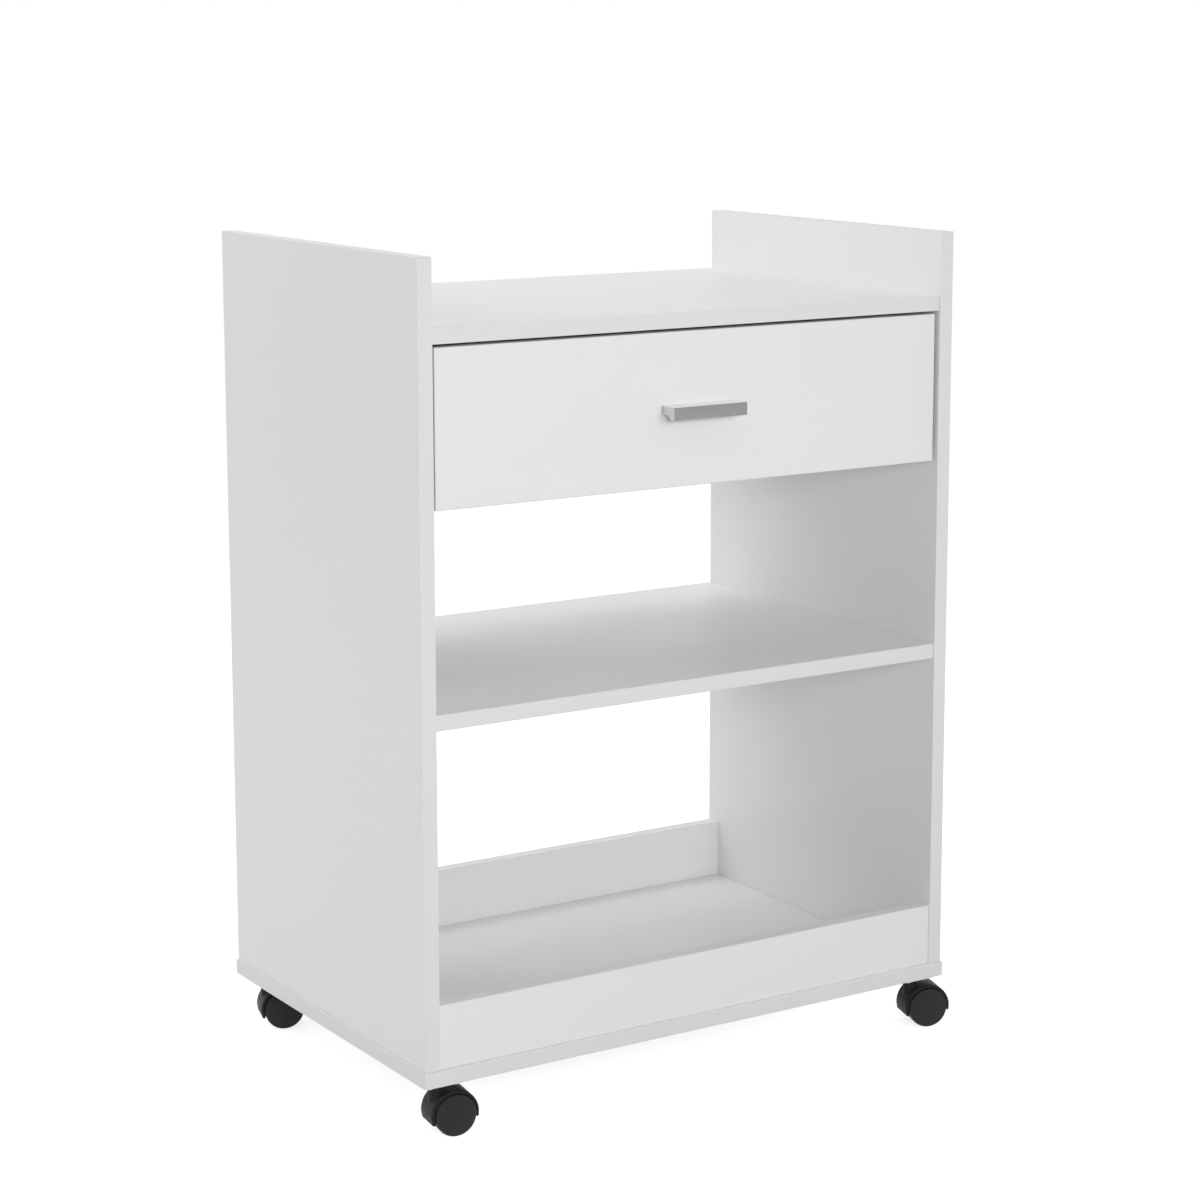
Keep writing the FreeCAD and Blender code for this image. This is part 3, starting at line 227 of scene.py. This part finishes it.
# ---------------------------------------------------------------- drawer bottom
# A 3 mm hardboard sheet in the grooves of the drawer box: lacquered white on top,
# primed pale over the fibre underneath, screwed up into the back board.


def dress(node, material):
    """A CAD node takes this material in all of its slots."""
    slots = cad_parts[node].data.materials
    slots.clear()
    slots.append(material)


hardboard, lacquer = finish(
    "lacquered_hardboard", ((0.80, 0.80, 0.79), (0.82, 0.82, 0.81)), patch=0.05,
    roughness=(0.42, 0.5), grain=0.0006, depth=0.000008)
fibres_per_metre = 900
fibre_tones = ((0.66, 0.64, 0.61), (0.76, 0.75, 0.73))
tree = hardboard.node_tree
place = add(tree, "TexCoord")
facing = add(tree, "SeparateXYZ", inputs={0: place.outputs["Normal"]})
fibres = add(tree, "TexNoise", inputs={
    "Vector": place.outputs["Object"], "Scale": fibres_per_metre, "Detail": 4})
primed = mixed(tree, fibres.outputs["Fac"], *fibre_tones)
tree.links.new(mixed(tree, turned_to(tree, facing, "top", 0.5), primed, lacquer),
               tree.nodes["Principled BSDF"].inputs["Base Color"])
dress("drawer_bottom", hardboard)

# ---------------------------------------------------------------- dowels, cams and cam bolts
# Beech dowels and zinc cams hold the boards: each cast cam turns in a bore in a board's
# underside, back or inner face, and draws in the steel bolt of its neighbour.

beech, _ = finish(
    "beech_dowel", ((0.55, 0.38, 0.22), (0.72, 0.55, 0.36)), patch=0.004,
    roughness=(0.55, 0.65), grain=0.0005, depth=0.00002)
cast_zinc, _ = finish(
    "cast_zinc", ((0.58, 0.58, 0.59), (0.68, 0.68, 0.68)), patch=0.004,
    roughness=(0.34, 0.46), grain=0.0005, depth=0.000015, Metallic=1)
plated_steel, _ = finish(
    "plated_steel", ((0.62, 0.63, 0.65), (0.72, 0.72, 0.72)), patch=0.003,
    roughness=(0.22, 0.32), grain=0.0004, depth=0.000006, Metallic=1)
for node, material in (
    ("wooden_dowels", beech), ("drawer_dowels", beech),
    ("cam_locks", cast_zinc), ("drawer_cam_locks", cast_zinc),
    ("cam_bolts", plated_steel), ("drawer_cam_bolts", plated_steel),
):
    dress(node, material)

# ---------------------------------------------------------------- screws
# Zinc-plated steel: wood screws with pan heads and a cross recess, two machine
# screws for the handle, and four stout screws up through the base into the panels.


def eased(x):
    """0 below 0, 1 above 1, and 3x^2 - 2x^3 between."""
    x = np.clip(x, 0, 1)
    return x * x * (3 - 2 * x)


def placed(grid, at, along):
    """A grid made about Z, turned so that Z runs along the given direction, moved to at."""
    along = np.array(along, float)
    across = np.array((0, 1, 0) if along[0] else (1, 0, 0), float)
    third = np.cross(along, across)
    points = grid[..., :1] * across + grid[..., 1:2] * third + grid[..., 2:] * along
    return points + np.array(at)


def piece(name, grids, material, body, replaced):
    """A piece from grids of points, rows by columns, in metres. Every four neighbours
    make a face and the last column joins the first; rows whose points meet close to
    a pole or a line. It rides on the body and stands for the replaced CAD nodes."""
    same_point, same_edge, crease = 2e-6, 1e-6, math.radians(38)
    faces, start = [], 0
    for grid in grids:
        rows, columns = grid.shape[:2]
        index = start + np.arange(rows * columns).reshape(rows, columns)
        index = np.hstack([index, index[:, :1]])
        faces.append(np.stack([index[:-1, :-1], index[1:, :-1], index[1:, 1:],
                               index[:-1, 1:]], axis=-1).reshape(-1, 4))
        start += rows * columns
    mesh = bpy.data.meshes.new(name)
    mesh.from_pydata(np.vstack([grid.reshape(-1, 3) for grid in grids]).tolist(), [],
                     np.vstack(faces).tolist())
    shape = bmesh.new()
    shape.from_mesh(mesh)
    bmesh.ops.remove_doubles(shape, verts=shape.verts, dist=same_point)
    bmesh.ops.dissolve_degenerate(shape, edges=shape.edges, dist=same_edge)
    bmesh.ops.recalc_face_normals(shape, faces=shape.faces)
    shape.to_mesh(mesh)
    shape.free()
    mesh.shade_smooth()
    mesh.set_sharp_from_angle(angle=crease)
    mesh.materials.append(material)
    made = bpy.data.objects.new(name, mesh)
    bpy.context.scene.collection.objects.link(made)
    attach(made, body)
    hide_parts(*replaced)


def turned(profile, columns=48):
    """A surface turned about Z: the profile's point (radius, height) at angle t is
    (radius cos t, radius sin t, height)."""
    radius, height = np.array(profile, float).T[:, :, None]
    t = np.linspace(0, 2 * np.pi, columns, endpoint=False)
    return np.stack([radius * np.cos(t), radius * np.sin(t), height + 0 * t], axis=-1)


def screw(radius, length, head_radius, head_height, dome=0.35, pitch=0.0012, sunk=False):
    """A screw about Z, its tip up and the head below Z 0, or above it where it is sunk.
    The head's face falls from its middle as a flat ellipse, by dome of its height, and
    dips by a cross: two arms, each eased across its width and at its ends. The shank's
    radius rises and falls as a helix: with height / pitch plus angle / full turn,
    through a rounded tooth that starts gently, and shrinks to the tip."""
    base = head_height if sunk else 0.0
    face = base - head_height
    rings = np.r_[0, np.linspace(0.08, 0.62, 9), 0.75, 0.86, 0.94, 1.0]
    flatness = 0.98
    fall = (1 - np.sqrt(1 - flatness * rings ** 2)) / (1 - math.sqrt(1 - flatness))
    head = turned(np.c_[rings * head_radius, face + dome * head_height * fall])
    dip = 0.45 * head_height
    arm, reach = 0.16 * head_radius, 0.52 * head_radius
    arm_ease, reach_ease = 0.35 * arm, 0.3 * reach
    for a, b in ((0, 1), (1, 0)):
        across = 1 - eased((np.abs(head[..., a]) - arm) / arm_ease)
        along = 1 - eased((np.abs(head[..., b]) - reach) / reach_ease)
        head[..., 2] = np.maximum(head[..., 2], face + dip * across * along)
    underside = turned([(head_radius, base), (radius * 1.05, base)])

    core, columns, rows_per_turn, tooth_half = 0.74 * radius, 24, 6, 0.34
    tip = base + length
    height = np.linspace(base, tip - radius, int(rows_per_turn * (length - radius) / pitch))
    shank = turned(np.c_[np.full(len(height), core), height], columns)
    turn = np.linspace(0, 1, columns, endpoint=False)
    phase = (height[:, None] / pitch + turn) % 1
    tooth = np.clip(1 - np.abs(phase - 0.5) / tooth_half, 0, 1)
    start = eased((height[:, None] - base) / (2 * pitch))
    shank[..., :2] *= (1 + (radius / core - 1) * tooth * start)[..., None]
    taper = turned([(core, tip - radius), (0.5 * core, tip - 0.35 * radius), (0, tip)], columns)
    inside = base - 0.3 * head_height
    neck = turned([(0, inside), (core, inside), (core, base)], columns)
    return [np.vstack([head, underside, turned([(0, base)])]), np.vstack([neck, shank, taper])]


up, to_front = (0, 0, 1), (0, -1, 0)
box_x, box_back_y, front_inner_y = 0.2705, 0.166, -0.178
runner_front, screw_steps = -0.176, (0.046, 0.174, 0.302)
swivel_x, swivel_y, plate_step = 0.2766, 0.1746, 0.014
wood_screw = dict(radius=0.00175, head_radius=0.0034, head_height=0.0016)

# Each node's screws: their size, then where each one's Z 0 lies and the way it points.
for name, node, body, shape, places in (
    ("base_fixing_screws", "base_screws", "carcass",
     dict(radius=0.0035, length=0.0465, head_radius=0.005, head_height=0.0035, dome=0.02,
          pitch=0.003, sunk=True),
     [((x * 0.2905, y * 0.125, 0.053), up) for x in (-1, 1) for y in (-1, 1)]),
    ("caster_plate_screws", "caster_screws", "carcass", dict(wood_screw, length=0.013),
     [((x * swivel_x + i * plate_step, y * swivel_y + j * plate_step, 0.051), up)
      for x in (-1, 1) for y in (-1, 1) for i in (-1, 1) for j in (-1, 1)]),
    ("runner_web_screws", "cabinet_runner_screws", "carcass", dict(wood_screw, length=0.011),
     [((sign * 0.2818, runner_front + step, 0.6044), (sign, 0, 0))
      for sign in (-1, 1) for step in screw_steps]),
    ("runner_foot_screws", "drawer_runner_screws", "drawer", dict(wood_screw, length=0.010),
     [((sign * 0.2645, front_inner_y + step, 0.5938), up)
      for sign in (-1, 1) for step in screw_steps]),
    ("back_board_screws", "drawer_back_screws", "drawer", dict(wood_screw, length=0.030),
     [((sign * box_x, box_back_y, z), (-sign, 0, 0))
      for sign in (-1, 1) for z in (0.683, 0.6322)]),
    ("bottom_board_screws", "drawer_bottom_screws", "drawer", dict(wood_screw, length=0.014),
     [((x, box_back_y, 0.6071), up) for x in (-0.18, 0, 0.18)]),
    ("handle_machine_screws", "handle_screws", "drawer",
     dict(radius=0.002, length=0.023, head_radius=0.004, head_height=0.0022, pitch=0.0007),
     [((x, front_inner_y, 0.6566), to_front) for x in (-0.032, 0.032)]),
):
    grids = screw(**shape)
    piece(name, [placed(grid, at, along) for at, along in places for grid in grids],
          plated_steel, body, [node])

# ---------------------------------------------------------------- drawer handle
# A short extruded aluminium bar with a finger lip, screwed on from inside: its face is
# brushed lengthwise. The front is painted a darker grey as a painted reflection, and the
# faces turned down carry a painted shade; its top and sawn ends are left bright.


def rounded(corners, setbacks, steps=6):
    """An outline with eased corners: each corner becomes a quadratic curve that
    leaves one side a setback before it and joins the next side a setback after it."""
    corners = np.array(corners, float)
    setbacks = np.broadcast_to(setbacks, len(corners))[:, None]
    before = np.roll(corners, 1, axis=0) - corners
    after = np.roll(corners, -1, axis=0) - corners
    start = (corners + setbacks * before / np.linalg.norm(before, axis=1)[:, None])[:, None]
    end = (corners + setbacks * after / np.linalg.norm(after, axis=1)[:, None])[:, None]
    t = np.linspace(0, 1, steps)[None, :, None]
    curve = (1 - t) ** 2 * start + 2 * t * (1 - t) * corners[:, None] + t ** 2 * end
    return curve.reshape(-1, 2)


# The section is carried along X. Its rows draw in towards the heart by end_ease times
# inset near both ends, and the first and the last row close on the heart.
handle_half, end_ease = 0.041, 0.0005
handle_front, handle_back, handle_top = -0.2143, -0.193, 0.6606
lip_back, hollow_front, lip_bottom, bar_bottom = -0.2081, -0.2041, 0.6483, 0.6526
section = rounded(
    [(handle_back, handle_top), (handle_front, handle_top), (handle_front, lip_bottom),
     (lip_back, lip_bottom), (hollow_front, bar_bottom), (handle_back, bar_bottom)],
    (0, 0.0006, 0.0005, 0.0005, 0.0022, 0))
heart = np.array((-0.2095, 0.6561))
ray = section - heart
inset = np.array([1, 0.5, 0.15, 0, 0, 0.15, 0.5, 1])[:, None, None]
rows = heart + (1 - inset * end_ease / np.linalg.norm(ray, axis=1)[None, :, None]) * ray
closed = np.broadcast_to(heart, rows[:1].shape)
rows = np.concatenate([closed, rows, closed])
along = np.array([-1, -1, -0.9965, -0.990, -0.985, 0.985, 0.990, 0.9965, 1, 1]) * handle_half
along = np.broadcast_to(along[:, None, None], (*rows.shape[:2], 1))
handle_grid = np.concatenate([along, rows], axis=-1)

aluminium_painted_light, bright = finish(
    "brushed_aluminium", ((0.82, 0.82, 0.82), (0.92, 0.92, 0.92)), patch=0.0012,
    roughness=(0.34, 0.46), grain=0.0004, depth=0.000012, stretch=(0.012, 1, 1), Metallic=1)
# The front's darker grey is a painted reflection, and the lower faces' dark grey a painted
# shade.
painted_reflection_tone, painted_shade_tone = (0.30, 0.30, 0.30), (0.16, 0.16, 0.16)
sawn_tone = (0.70, 0.70, 0.70)
tree = aluminium_painted_light.node_tree
place = add(tree, "TexCoord")
facing = add(tree, "SeparateXYZ", inputs={0: place.outputs["Normal"]})
# Where the front faces the camera side the painted reflection goes on; where faces turn down,
# the painted shade.
painted_reflection_share = add(tree, "MapRange", inputs={
    "Value": facing.outputs[1], "From Min": -0.9, "From Max": -0.6, "To Min": 1, "To Max": 0})
painted_shade_share = add(tree, "MapRange", inputs={
    "Value": facing.outputs[2], "From Min": -0.9, "From Max": -0.4, "To Min": 1, "To Max": 0})
shown = mixed(tree, painted_reflection_share.outputs[0], bright, painted_reflection_tone)
shown = mixed(tree, painted_shade_share.outputs[0], shown, painted_shade_tone)
shown = mixed(tree, turned_to(tree, facing, "left right"), shown, sawn_tone)
tree.links.new(shown, tree.nodes["Principled BSDF"].inputs["Base Color"])
piece("handle_bar", [handle_grid], aluminium_painted_light, "drawer", ["drawer_handle"])

# ---------------------------------------------------------------- drawer runners
# Roll-formed steel, epoxy-coated white. The cabinet's channel is screwed to the side
# panel and ends in a stop; the drawer's rail wraps the lower edge of the drawer side.

epoxy, _ = finish(
    "white_epoxy_coat", ((0.74, 0.74, 0.73), (0.78, 0.78, 0.77)), patch=0.02,
    roughness=(0.34, 0.42), grain=0.0009, depth=0.00001)
half_sheet = 0.0006


def rail(bends, setbacks, low, high):
    """Bent sheet steel carried along Y. Its section is a middle line with eased
    bends; each side of it is the line plus or minus half a sheet along its normal,
    and half circles close its two edges. The ends ease in and meet in the line."""
    same_point, cap_points, first, full = 1e-7, 5, 0.00015, 0.0005
    line = rounded(bends, setbacks, steps=7)
    line = line[np.r_[True, np.linalg.norm(np.diff(line, axis=0), axis=1) > same_point]]
    heading = np.gradient(line, axis=0)
    heading /= np.linalg.norm(heading, axis=1)[:, None]
    normal = np.c_[-heading[:, 1], heading[:, 0]]
    swing = np.linspace(0, np.pi, cap_points + 2)[1:-1, None]
    caps = [np.cos(swing) * sign * normal[end] + np.sin(swing) * sign * heading[end]
            for end, sign in ((-1, 1), (0, -1))]
    spine = np.vstack([line, np.repeat(line[-1:], cap_points, 0),
                       line[::-1], np.repeat(line[:1], cap_points, 0)])
    offset = half_sheet * np.vstack([normal, caps[0], -normal[::-1], caps[1]])
    swell = np.array([0, 0.6, 0.9, 1, 1, 0.9, 0.6, 0])[:, None, None]
    section = spine + swell * offset
    y = np.array([low, low, low + first, low + full, high - full, high - first, high, high])
    x, z = section[..., 0], section[..., 1]
    return np.stack([x, y[:, None] + 0 * x, z], axis=-1)


# A section's bends are (distance in from the side panel, height over the box's lower
# edge). The stop is made lying down and stood up across the runner's back end.
inner_x, box_bottom = 0.283, 0.595
sides = {"left": -1, "right": 1}
runner_back, rail_back = 0.174, 0.1723
bend_setbacks = (0, 0.0018, 0.0018, 0)
for side, sign in sides.items():
    channel = rail([(0.0094, -half_sheet), (half_sheet, -half_sheet), (half_sheet, 0.0194),
                    (0.0056, 0.0194)], bend_setbacks, runner_front, runner_back)
    stop = rail([(0.0018, half_sheet), (0.0094, half_sheet)], 0, 0, 0.0176)[..., [0, 2, 1]]
    stop = stop * (1, -1, 1) + (0, runner_back, half_sheet)
    foot = rail([(0.0239, -half_sheet), (0.0119, -half_sheet), (0.0119, 0.0174),
                 (0.0041, 0.0174)], bend_setbacks, front_inner_y, rail_back)
    for name, grids, body, node in (
        (f"runner_channel_{side}", [channel, stop], "carcass", f"cabinet_runner_{side}"),
        (f"runner_rail_{side}", [foot], "drawer", f"drawer_runner_{side}"),
    ):
        piece(name, [grid * (-sign, 1, 1) + (sign * inner_x, 0, box_bottom) for grid in grids],
              epoxy, body, [node])

# ---------------------------------------------------------------- rollers and their pins
# Natural nylon rollers with a hollowed face and eased tread, each turning on a steel
# pin whose foot is riveted into its runner and whose domed head keeps it on.

nylon, _ = finish(
    "natural_nylon", ((0.72, 0.72, 0.68), (0.78, 0.78, 0.74)), patch=0.004,
    roughness=(0.42, 0.52), grain=0.0006, depth=0.00001)
turned_steel, _ = finish(
    "turned_steel", ((0.56, 0.57, 0.58), (0.68, 0.68, 0.69)), patch=0.002,
    roughness=(0.25, 0.34), grain=0.0003, depth=0.00001, stretch=(1, 1, 4), Metallic=1)

# The profile runs from the bore over one hollowed face to the tread, and back over the
# other. The pin's is its foot, its shank, and a quarter ellipse for its head.
half_width, tread, bore, hollow = 0.0032, 0.008, 0.00255, 0.0024
face_line = rounded([(bore, half_width), (0.0042, half_width), (0.0046, hollow),
                     (0.0062, hollow), (0.0066, half_width), (tread, half_width)],
                    (0, 0.0002, 0.0002, 0.0002, 0.0003, 0.0008))[:-3]
roller_outline = np.vstack([face_line, face_line[::-1] * (1, -1), face_line[:1]])
pin_radius, pin_reach, head_radius, head_height = 0.0025, 0.0083, 0.004, 0.0008
swing = np.linspace(0.1, np.pi / 2, 6)
rivet = np.vstack([
    [(0, 0), (0.0023, 0), (pin_radius, 0.0002), (pin_radius, pin_reach),
     (head_radius, pin_reach)],
    np.c_[head_radius * np.cos(swing), pin_reach + head_height * np.sin(swing)]])
for kind, y, z, middle in (
    ("cabinet", -0.165, 0.6035, 0.0048),
    ("drawer", 0.1613, 0.6033, 0.0077),
):
    pins = []
    for side, sign in sides.items():
        at, along = (sign * (inner_x - middle), y, z), (sign, 0, 0)
        piece(f"{kind}_nylon_roller_{side}", [placed(turned(roller_outline, 64), at, along)],
              nylon, f"{kind}_roller_{side}", [f"{kind}_roller_{side}"])
        foot_x, outwards = (inner_x, -sign) if kind == "cabinet" else (box_x, sign)
        pins.append(placed(turned(rivet), (sign * foot_x, y, z), (outwards, 0, 0)))
    piece(f"{kind}_roller_rivets", pins, turned_steel,
          "carcass" if kind == "cabinet" else "drawer", [f"{kind}_roller_pins"])

# ---------------------------------------------------------------- caster plates, stems and axles
# A pressed, zinc-plated plate under each corner of the base takes four screws; the
# stem is riveted into it and the hood swivels on it; a steel axle crosses the hood.

pressed_zinc, _ = finish(
    "pressed_zinc", ((0.52, 0.53, 0.54), (0.66, 0.66, 0.67)), patch=0.006,
    roughness=(0.3, 0.42), grain=0.001, depth=0.00001, Metallic=1)

# Each corner's sides in X and Y, and how far its hood is turned on its stem, in degrees.
corners = {"front_left": (-1, -1, -8), "front_right": (1, -1, -17.5),
           "rear_left": (-1, 1, -15.5), "rear_right": (1, 1, -12)}
dress("caster_stems", turned_steel)
for corner in corners:
    dress(f"{corner}_caster_plate", pressed_zinc)
    dress(f"{corner}_caster_axle", turned_steel)

# ---------------------------------------------------------------- caster hoods
# One black nylon moulding for each caster: a web between the wheels, a fender over
# both and a boss for the stem, all with eased edges. The web ends in a small lug.

trail, axle_z = 0.0145, 0.020
hood_radius = 0.0236
trailing, leading = math.radians(-12), math.radians(201)


def fender():
    """The fender: at angle a about the axle, radius = middle + swell * across and
    side = side, where (across, side) runs round an eased rectangle. At both tips
    swell follows a quarter circle down to nothing and the sides draw in a little."""
    half_wall, half_width, draw_in = 0.0015, 0.0148, 0.05
    inner_ease, outer_ease = 0.0003, 0.0022
    rows, tip_rows = 72, 6
    middle = hood_radius - half_wall
    loop = rounded([(-half_wall, -half_width), (half_wall, -half_width),
                    (half_wall, half_width), (-half_wall, half_width)],
                   (inner_ease, outer_ease, outer_ease, inner_ease))
    turn = np.linspace(0, np.pi / 2, tip_rows)
    tip = half_wall / middle * (1 - np.cos(turn))
    between = np.linspace(trailing, leading, rows)[tip_rows:-tip_rows]
    a = np.r_[trailing + tip, between, (leading - tip)[::-1]][:, None]
    swell = np.r_[np.sin(turn), np.ones(len(between)), np.sin(turn)[::-1]][:, None]
    radius = middle + swell * loop[:, 0]
    side = (1 - draw_in * (1 - swell)) * loop[:, 1]
    return np.stack([trail + radius * np.cos(a), side, axle_z + radius * np.sin(a)], axis=-1)


def web():
    """The web: a plate about the axle with its edge at radius R(a), which is low_edge
    below and runs up, eased over a few degrees, into the fender's wall above, a
    little further out at the trailing lug. Rows go from one face round to the other,
    each a little inside the edge and the face where the corner is eased."""
    half_web, low_edge, in_wall, lug_height = 0.0055, 0.013, 0.0223, 0.0009
    lug_start, lug_end, front_end, rise, lug_rise = -21, -11, 201, 5, 4
    a = np.linspace(leading - 2 * np.pi, leading, 121)[:-1]
    degrees = np.degrees(a)
    covered = eased((degrees - lug_start) / rise) * eased((front_end - degrees) / rise)
    lug = eased((degrees - lug_start) / lug_rise) * (1 - eased((degrees - lug_end) / lug_rise))
    edge = low_edge + covered * (in_wall - low_edge) + lug * lug_height
    share = np.array([0, 1, 1, 1])
    inset = np.array([0, 0.0009, 0.00035, 0])
    face = half_web - np.array([0, 0, 0.00025, 0.0009])
    radius = np.r_[share, share[::-1]][:, None] * edge - np.r_[inset, inset[::-1]][:, None]
    side = np.r_[face, -face[::-1]][:, None]
    return np.stack([trail + radius * np.cos(a), side + 0 * radius,
                     axle_z + radius * np.sin(a)], axis=-1)


def boss():
    """The boss about the swivel: turned rows down from its eased rim, then flaring as
    a quarter circle onto the fender, whose height over a point is
    axle + root(radius squared - distance from the axle squared), and closing inside."""
    flare, boss_radius, top, overlap, foot = 0.0015, 0.007, 0.0492, 0.0008, 0.036
    t = np.linspace(0, 2 * np.pi, 64, endpoint=False)
    reach = (boss_radius + flare) * np.cos(t) - trail
    ground = axle_z + np.sqrt(hood_radius ** 2 - reach ** 2)
    swing = np.linspace(0, np.pi / 2, 6)[:, None]
    rows = [(radius + 0 * t, height + 0 * t) for radius, height in (
        (0, top), (0.0063, top), (0.0068, 0.049), (boss_radius, 0.0485))]
    rows += list(zip(boss_radius + flare * (1 - np.cos(swing)) + 0 * t,
                     ground + flare * (1 - np.sin(swing))))
    rows += [(boss_radius + 0.001 + 0 * t, ground - overlap), (0 * t, foot + 0 * t)]
    radius, height = np.array(rows).transpose(1, 0, 2)
    return np.stack([radius * np.cos(t), radius * np.sin(t), height], axis=-1)


def at_caster(grid, sign_x, sign_y, yaw):
    """A grid made with the swivel at the origin, turned by yaw and moved to its corner."""
    c, s = math.cos(math.radians(yaw)), math.sin(math.radians(yaw))
    x, y, z = grid[..., 0], grid[..., 1], grid[..., 2]
    return np.stack([sign_x * swivel_x + c * x - s * y, sign_y * swivel_y + s * x + c * y, z],
                    axis=-1)


black_nylon, _ = finish(
    "black_nylon", ((0.016, 0.0155, 0.0155), (0.022, 0.0215, 0.0215)), patch=0.006,
    roughness=(0.42, 0.55), grain=0.0005, depth=0.00003, Specular_IOR_Level=0.12)
for corner, place in corners.items():
    piece(f"{corner}_hood_moulding",
          [at_caster(grid, *place) for grid in (fender(), web(), boss())],
          black_nylon, f"{corner}_caster", [f"{corner}_caster_hood"])

# ---------------------------------------------------------------- caster wheels
# A pair of black nylon cups on each axle, moulded with a domed and grooved outer face,
# an eased shoulder and a plain tread. Each turns on the axle by itself.

wheel_radius, wheel_inner, wheel_outer, wheel_dome = 0.020, 0.0058, 0.017, 0.0032
shoulder_ease, corner_ease = 0.002, 0.0005
groove_radius, groove_width, groove_depth = 0.0152, 0.0004, 0.00022
cup_radius, cup_floor, hub_radius, axle_hole = 0.016, 0.014, 0.005, 0.00255

# The face falls as the square of the distance from the axle, less a groove that is a
# bell curve across; a quarter circle leads to the tread, and the cup is open behind.
shoulder = wheel_radius - shoulder_ease
face_radius = np.linspace(0, shoulder, 61)
groove = groove_depth * np.exp(-((face_radius - groove_radius) / groove_width) ** 2)
face_height = wheel_outer + wheel_dome * (1 - (face_radius / shoulder) ** 2) - groove
bend = np.linspace(0, np.pi / 2, 7)[1:, None]
wheel_profile = np.vstack([
    np.c_[face_radius, face_height],
    np.hstack([shoulder + shoulder_ease * np.sin(bend),
               wheel_outer - shoulder_ease * (1 - np.cos(bend))]),
    [(wheel_radius, 0.0115), (wheel_radius, 0.0066), (0.0198, 0.0061), (0.0194, wheel_inner),
     (cup_radius, wheel_inner), (cup_radius, cup_floor - corner_ease),
     (cup_radius - corner_ease, cup_floor), (hub_radius + corner_ease, cup_floor),
     (hub_radius, cup_floor - corner_ease), (hub_radius, wheel_inner),
     (axle_hole, wheel_inner), (axle_hole, cup_floor), (0, cup_floor)],
])
wheel_black, _ = finish(
    "wheel_nylon", ((0.016, 0.016, 0.016), (0.023, 0.0225, 0.022)), patch=0.004,
    roughness=(0.4, 0.52), grain=0.0004, depth=0.00002, Specular_IOR_Level=0.22)
x, y, z = np.moveaxis(turned(wheel_profile, 96), -1, 0)
for corner, place in corners.items():
    for end, sign in (("front", -1), ("rear", 1)):
        grid = at_caster(np.stack([trail + x, sign * z, axle_z + y], axis=-1), *place)
        piece(f"{corner}_{end}_wheel_cup", [grid], wheel_black, f"{corner}_wheel_{end}",
              [f"{corner}_caster_wheel_{end}"])

# ---------------------------------------------------------------- floor and light
# A plain white studio: an even white dome, soft boxes in front, at both sides, behind
# and overhead, and a white floor that keeps the stand's soft shadow.

far, floor_grey, seen_grey, seen_glow, dome_strength = 30, 0.65, 0.6, 0.775, 0.38
white = (1, 1, 1, 1)
floor_mesh = bpy.data.meshes.new("floor")
floor_mesh.from_pydata([(-far, -far, 0), (far, -far, 0), (far, far, 0), (-far, far, 0)], [],
                       [(0, 1, 2, 3)])
floor = bpy.data.objects.new("floor", floor_mesh)
bpy.context.scene.collection.objects.link(floor)
floor_white = bpy.data.materials.new("floor_white")
floor_white.use_nodes = True
tree = floor_white.node_tree
tree.nodes.remove(tree.nodes["Principled BSDF"])
paint = add(tree, "BsdfDiffuse", inputs={"Color": (*[floor_grey] * 3, 1)})
shade = add(tree, "BsdfDiffuse", inputs={"Color": (*[seen_grey] * 3, 1)})
glow = add(tree, "Emission", inputs={"Color": white, "Strength": seen_glow})
seen_white = add(tree, "AddShader", inputs={0: shade.outputs[0], 1: glow.outputs[0]})


def seen(tree):
    """1 for the rays of the camera, of gloss and of clear material, and 0 for the rest."""
    path = add(tree, "LightPath")
    return any_of(tree, [path.outputs[f"Is {ray} Ray"]
                         for ray in ("Camera", "Glossy", "Transmission")])


def choose(tree, otherwise, when_seen, output):
    """The first shader for most rays and the second for the rays named above."""
    blend = add(tree, "MixShader", inputs={
        0: seen(tree), 1: otherwise.outputs[0], 2: when_seen.outputs[0]})
    tree.links.new(blend.outputs[0], tree.nodes[output].inputs["Surface"])


choose(tree, paint, seen_white, "Material Output")
floor_mesh.materials.append(floor_white)

world = bpy.data.worlds.new("studio")
world.use_nodes = True
bpy.context.scene.world = world
tree = world.node_tree
dome = tree.nodes["Background"]
dome.inputs["Color"].default_value = white
dome.inputs["Strength"].default_value = dome_strength
backdrop = add(tree, "Background", inputs={"Color": white, "Strength": 1})
choose(tree, dome, backdrop, "World Output")

# Round soft boxes, each with its place, its width and its power, aimed at the stand's
# middle. None of them is seen itself.
stand_middle = Vector((0, 0, 0.4))
for name, place, width, power in (
    ("front_left_softbox", (-0.9, -2.6, 1.14), 0.5, 21),
    ("front_softbox", (0.25, -2.6, 1.2), 0.9, 12),
    ("right_softbox", (2.6, -0.3, 1.0), 1.2, 14),
    ("left_softbox", (-2.6, 0.3, 1.4), 1.2, 9),
    ("back_left_softbox", (-1.9, 1.7, 1.9), 1.2, 13),
    ("back_softbox", (-0.2, 2.6, 0.7), 1.5, 15),
    ("overhead_softbox", (-0.2, 0.9, 2.5), 1.0, 13),
):
    lamp = bpy.data.objects.new(name, bpy.data.lights.new(name, "AREA"))
    lamp.data.shape = "DISK"
    lamp.data.size = width
    lamp.data.energy = power
    lamp.visible_camera = lamp.visible_glossy = False
    lamp.location = place
    lamp.rotation_euler = (lamp.location - stand_middle).to_track_quat("Z", "Y").to_euler()
    bpy.context.scene.collection.objects.link(lamp)
